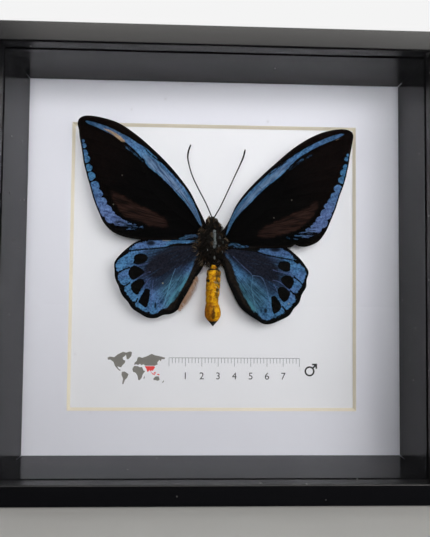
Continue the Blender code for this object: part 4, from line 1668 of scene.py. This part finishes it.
def joint_fur(x, z, aim, count, spread, length, tone, seed):
    """A tuft at a wing joint: middle, direction in the plane of the wings, and its size."""
    random = np.random.default_rng(seed)
    roots = np.column_stack([
        random.normal(x, spread[0], count), FOREWING_DEPTH - 0.3 - random.random(count) * 0.7,
        random.normal(z, spread[1], count),
    ])
    tones, leans = locks(random, roots, 1.1, 0.3, tone)
    aims = np.array([aim[0], -0.06, aim[1]]) + leans * (1.0, 0.3, 1.0) + random.normal(0, 0.08, (count, 3))
    lengths = length * (0.5 + 0.9 * random.random(count))
    return roots, aims, lengths, np.full(count, 0.1), np.clip(tones + 0.12 * (tones > 0.4), 0, 1)


palps = joined(palp_fur(PALPS[0], 0.72, 31), palp_fur(PALPS[1], 0.45, 32))
tufts = joined(*(joint_fur(*tuft, 40 + i) for i, tuft in enumerate(TUFTS)))
hair_mesh("head_fur", head_fur(), (0.0, 0.0, -0.1), HAIR, "head", 22)
hair_mesh("palps", palps, (0.0, -0.05, 0.1), HAIR, "head", 33)
hair_mesh("wing_joint_fur", tufts, (0.0, 0.08, -0.12), HAIR, "thorax", 51)

# %% [markdown]
# A few loose pale hairs from the thorax have come to lie across the abdomen. They are few
# enough to be placed one by one.

# %% Stray hairs
# Each stray hair: x and z where it starts, and x and z where it ends.
STRAYS = np.array([
    (-0.7, -9.6, 3.8, -10.6), (-0.2, -10.2, 3.4, -11.2), (-0.1, -15.4, 3.2, -16.0), (0.6, -12.6, 3.3, -14.2),
])
STRAY_DEPTH = 3.6


def stray_hairs():
    x0, z0, x1, z1 = STRAYS.T
    each = np.ones(len(STRAYS))
    aims = np.column_stack([x1 - x0, 0.4 * each, z1 - z0])
    roots = np.column_stack([x0, STRAY_DEPTH * each, z0])
    return roots, aims, np.linalg.norm(aims, axis=1), 0.15 * each, 0.95 * each


hair_mesh("stray_hairs", stray_hairs(), (0.0, 0.0, 0.0), HAIR, "abdomen", 71)

# %% [markdown]
# The inner edge of the left hindwing is folded under, and a fringe of long tan hairs shows
# beside it. The right wing shows only a short dark fringe. Both are rows of the same hairs,
# rooted along the edge and combed down and outwards.

# %% Inner edge fringe
FRINGE_LEFT = ((-11.0, -6.6), (-15.4, -14.6), (-19.4, -21.6), (-21.8, -25.8))
FRINGE_RIGHT = ((7.6, -8.3), (11.0, -15.8), (15.3, -23.7), (20.7, -28.5))
FRINGE_DROOP = (0.0, 0.1, -0.25)


def fringe(line, aim, count, length, tone, seed):
    random = np.random.default_rng(seed)
    path = smooth_line(line, 0.2)
    picks = path[np.sort(random.integers(0, len(path), count))]
    roots = np.column_stack([
        picks[:, 0] + random.normal(0, 0.35, count), HINDWING_DEPTH + random.normal(0.35, 0.12, count),
        picks[:, 1] + random.normal(0, 0.35, count),
    ])
    aims = np.column_stack([
        aim[0] + random.normal(0, 0.22, count), random.normal(0.12, 0.1, count),
        aim[1] + random.normal(0, 0.22, count),
    ])
    share = np.linspace(-1, 1, count)
    lengths = length * (0.5 + 0.6 * random.random(count)) * (1 - 0.55 * share ** 2)
    return roots, aims, lengths, np.full(count, 0.075), tone + 0.2 * random.random(count)


left_hairs = fringe(FRINGE_LEFT, (0.78, -0.62), 700, 4.0, 0.15, 61)
right_hairs = fringe(FRINGE_RIGHT, (-0.7, -0.6), 420, 0.6, 0.1, 63)
hair_mesh("left_fringe", left_hairs, FRINGE_DROOP, FOLD_HAIR, "hindwing_left", 62)
hair_mesh("right_fringe", right_hairs, FRINGE_DROOP, HAIR, "hindwing_right", 64)

# %% [markdown]
# ## Antennae
# Each antenna is a stiff thread of some thirty segments that thickens into a slim club. A
# swept curve would be smooth, so the thread is lofted ring by ring: the radius dips at every
# segment joint and grows towards the club.

# %% Antennae
ANTENNA_ROUTES = {
    "left": (
        (-2, 5.6, 28), (-2.8, 5.5, 30.2), (-5.9, 5.2, 37.1), (-10.4, 5.2, 45.6), (-13.9, 5.4, 53),
        (-15.8, 5.5, 59.1), (-16.7, 5.6, 63.9), (-16.3, 5.8, 68), (-15, 5.8, 71.8),
    ),
    "right": (
        (-0.9, 5.6, 28), (0.2, 5.5, 29.9), (3.2, 5.2, 35.3), (7.1, 5.2, 43.8), (10.8, 5.4, 52.1),
        (14.3, 5.6, 59.9), (16.4, 5.8, 65), (17.4, 5.8, 69.4),
    ),
}
THREAD_RADIUS = 0.36
CLUB_RADIUS = 0.5
TIP_RADIUS = 0.05
SEGMENT = 1.5


def antenna_rings(route):
    path = smooth_line(route, 0.18)
    along = np.gradient(path, axis=0)
    along /= np.linalg.norm(along, axis=1)[:, None]
    length = np.cumsum(np.linalg.norm(np.diff(path, axis=0, prepend=path[:1]), axis=1))
    share = length / length[-1]
    club = ease(share, 0.72, 0.9) * (1 - ease(share, 0.955, 1.02))
    joint = np.abs((length / SEGMENT) % 1.0 - 0.5) * 2
    radius = THREAD_RADIUS + (CLUB_RADIUS - THREAD_RADIUS) * club - 0.035 * joint ** 6
    radius[-1] = TIP_RADIUS
    side = np.cross(along, (0.0, 1.0, 0.0))
    side /= np.linalg.norm(side, axis=1)[:, None]
    turn = turns(10)[:, None]
    frames = zip(path, side, np.cross(side, along), radius)
    return [centre + r * (np.cos(turn) * right + np.sin(turn) * back) for centre, right, back, r in frames]


horn = body_finish("antenna_horn", colour(6, 6, 6), colour(24, 21, 20), 0.5)
for side, route in ANTENNA_ROUTES.items():
    node = f"antenna_{side}"
    add_piece(f"{side}_antenna", *lofted(antenna_rings(route)), horn, node, (node,))

# %% [markdown]
# ## The label
# A label under a specimen says where it comes from and how large it is. Here a small plain
# map of the world marks a region in red, a ruled scale gives the size, numbered in
# centimetres, and the usual sign stands for a male. All of it is ink on the card: sheets a
# few hundredths of a millimetre thick, so their edges stay sharp however close one looks.

# %% Ink
INK_THICK = 0.03
INK_FRONT = CARD_FRONT - 0.02 - INK_THICK


def ink(name, paint, uneven):
    made, shader, here = new_finish(name, roughness=0.75, specular=0.2)
    grain = use(here, FINE_GRAIN, Scale=2600.0)
    thin = here.noise(1900.0, 2.0).rise(0.60, 0.80)
    worn = mix(thin * uneven, shaded(grain["Shade"], paint, 0.85, 1.15), (0.7, 0.7, 0.71))
    feed(shader, Base_Color=worn, Normal=bump(grain["Height"], 0.1, 0.02))
    return made


def printed(name, outlines, finish):
    """Closed outlines on the card, as one thin piece with its faces turned outwards."""
    points, faces = [], []
    for outline in outlines:
        x, z = np.array(outline, float).T
        if x @ np.roll(z, -1) > z @ np.roll(x, -1):
            x, z = x[::-1], z[::-1]
        sheet = (np.column_stack([x, np.full_like(x, y), z]) for y in (INK_FRONT, INK_FRONT + INK_THICK))
        start = len(points)
        corners, sides = lofted(list(sheet))
        points.extend(corners)
        faces += [[corner + start for corner in face] for face in sides]
    add_piece(name, points, faces, finish, "backing_card", smooth=False)


# %% The map
LAND = (
    # North and South America, Greenland
    ((-64.5, -56.1), (-63.1, -55.5), (-60.4, -55.9), (-58.6, -54.3), (-55, -52.5), (-52.7, -53.4),
     (-54.1, -55.2), (-55.4, -56.1), (-54.9, -57.5), (-53.6, -57.9), (-54, -59.3), (-55.3, -60.6),
     (-56.2, -62), (-58.5, -61.4), (-57.6, -62.9), (-56.2, -63.8), (-57.1, -64), (-58.5, -62.9),
     (-59.9, -61.1), (-60.8, -58.8), (-62.7, -57.3), (-64.2, -57.5)),
    ((-55.7, -64.7), (-53.9, -64.5), (-51.6, -66.1), (-52.5, -68.3), (-53.8, -69.7), (-54.7, -72.2),
     (-55.4, -72), (-54.9, -68.8), (-55.9, -66.5)),
    ((-53.6, -53.2), (-50.9, -52.3), (-49.7, -52.9), (-50.2, -55.2), (-51.8, -57), (-52.9, -57),
     (-53.2, -55.2)),
    # Africa with its great island
    ((-49.4, -62.9), (-48.3, -61.1), (-46.2, -61.2), (-44.9, -61.9), (-43.5, -61.7), (-42.6, -63.8),
     (-41.6, -64.2), (-43, -66), (-43.7, -68.3), (-44.9, -69.7), (-45.8, -69.5), (-46.2, -66.9),
     (-47.5, -65.1), (-48.9, -64.7)),
    ((-42.6, -68.6), (-42, -67.2), (-41.7, -67.4), (-42.1, -68.9)),
    # Europe and Asia
    ((-48.3, -60.6), (-48.1, -59.2), (-46.7, -57.9), (-46.3, -56), (-45, -55.6), (-43.6, -56.2),
     (-40.4, -55.1), (-37.7, -53.7), (-35.9, -54.6), (-33.1, -55.1), (-29.6, -56), (-29.9, -56.9),
     (-31.7, -56.9), (-32.2, -58.3), (-33.1, -57.3), (-34.4, -59.2), (-34, -60.1), (-35.8, -60.9),
     (-41.7, -60.9), (-42.6, -60.1), (-44, -60.6), (-44.9, -59.7), (-45.8, -60.6), (-47.2, -60.1)),
    # Australia and its neighbours
    ((-36.6, -68.7), (-35.2, -67.4), (-33.4, -67.3), (-32.7, -69.2), (-33.8, -70.1), (-35.2, -69.6),
     (-36.4, -69.6)),
    ((-31.3, -71), (-30.3, -69.8), (-29.9, -70.1), (-30.8, -71.3)),
)
RED_LAND = (
    ((-42, -61.2), (-36.2, -61.2), (-35.6, -61.8), (-36.2, -62.8), (-37.1, -64.2), (-37.7, -63.5),
     (-38, -64.6), (-36.8, -65.8), (-37.5, -65.6), (-38.9, -63.5), (-40.1, -64.9), (-40.9, -62.8)),
    ((-37.4, -66), (-35.7, -66.6), (-35.6, -66.2), (-37.1, -65.4)),
    ((-36.3, -64.9), (-35.3, -64.6), (-35.1, -65.6), (-35.9, -65.9)),
    ((-34.4, -66.4), (-33, -66.7), (-32.8, -66.2), (-33.9, -65.7)),
)
printed("label_map", LAND, ink("grey_ink", colour(128, 124, 119), 0.25))
printed("label_region", RED_LAND, ink("red_ink", colour(234, 76, 74), 0.1))

# %% The scale and the sign
SCALE_LEFT = -27.2
SCALE_TOP = -56.2
SCALE_LONG = 80
TICK_STEP = 2
TICK_HALF = 0.15
TICK_LONG = 5.0
TICK_SHORT = 3.0
SIGN_AT = (59.1, -63.9)
SIGN_RADIUS = 2.6
SIGN_STROKE = 1.0
ARROW_LONG = 2.3
BARB_LONG = 2.6
SEAM = 0.01


def box_outline(x0, x1, z0, z1):
    return ((x0, z0), (x1, z0), (x1, z1), (x0, z1))


def scale_outlines():
    yield box_outline(SCALE_LEFT, SCALE_LEFT + SCALE_LONG, SCALE_TOP, SCALE_TOP + 2 * TICK_HALF)
    for i in range(0, SCALE_LONG + 1, TICK_STEP):
        x = SCALE_LEFT + i
        low = SCALE_TOP - (TICK_SHORT if i % 10 else TICK_LONG)
        yield box_outline(x - TICK_HALF, x + TICK_HALF, low, SCALE_TOP - SEAM)


def sign_outlines():
    """A ring of narrow four-cornered pieces, and the arrow that points up and right from it."""
    x, z = SIGN_AT
    half = SIGN_STROKE / 2
    inner, outer = SIGN_RADIUS - half, SIGN_RADIUS + half
    bounds = np.linspace(0, 2 * np.pi, 49)
    for a, b in zip(bounds[:-1], bounds[1:]):
        corners = ((inner, a), (outer, a), (outer, b), (inner, b))
        yield tuple((x + r * math.cos(t), z + r * math.sin(t)) for r, t in corners)
    near = SIGN_RADIUS * 0.72
    far = near + ARROW_LONG
    slant = half * 0.71
    yield ((x + near + slant, z + near - slant), (x + far + slant, z + far - slant),
           (x + far - slant, z + far + slant), (x + near - slant, z + near + slant))
    yield box_outline(x + far - BARB_LONG, x + far + half, z + far - half, z + far + half)
    yield box_outline(x + far - half, x + far + half, z + far - BARB_LONG, z + far - half - SEAM)


printed("label_scale", scale_outlines(), ink("light_grey_ink", colour(138, 138, 142), 0.3))
dark_ink = ink("dark_grey_ink", colour(46, 45, 46), 0.15)
printed("label_sign", sign_outlines(), dark_ink)

# %% The numbers
NUMBERS = range(1, 8)
NUMBER_SIZE = 6.02
NUMBER_LOW = -69.0


def number(value):
    """A numeral under its centimetre line, in Blender's own plain typeface."""
    name = f"label_number_{value}"
    text = bpy.data.curves.new(name, "FONT")
    text.body = str(value)
    text.size = NUMBER_SIZE * MM
    text.align_x = "CENTER"
    text.extrude = INK_THICK / 2 * MM
    text.materials.append(dark_ink)
    piece = mount(name, text)
    piece.location = at(SCALE_LEFT + 10 * value, INK_FRONT + INK_THICK / 2, NUMBER_LOW)
    piece.rotation_euler = (math.pi / 2, 0.0, 0.0)


for value in NUMBERS:
    number(value)
print("numbers", list(NUMBERS))
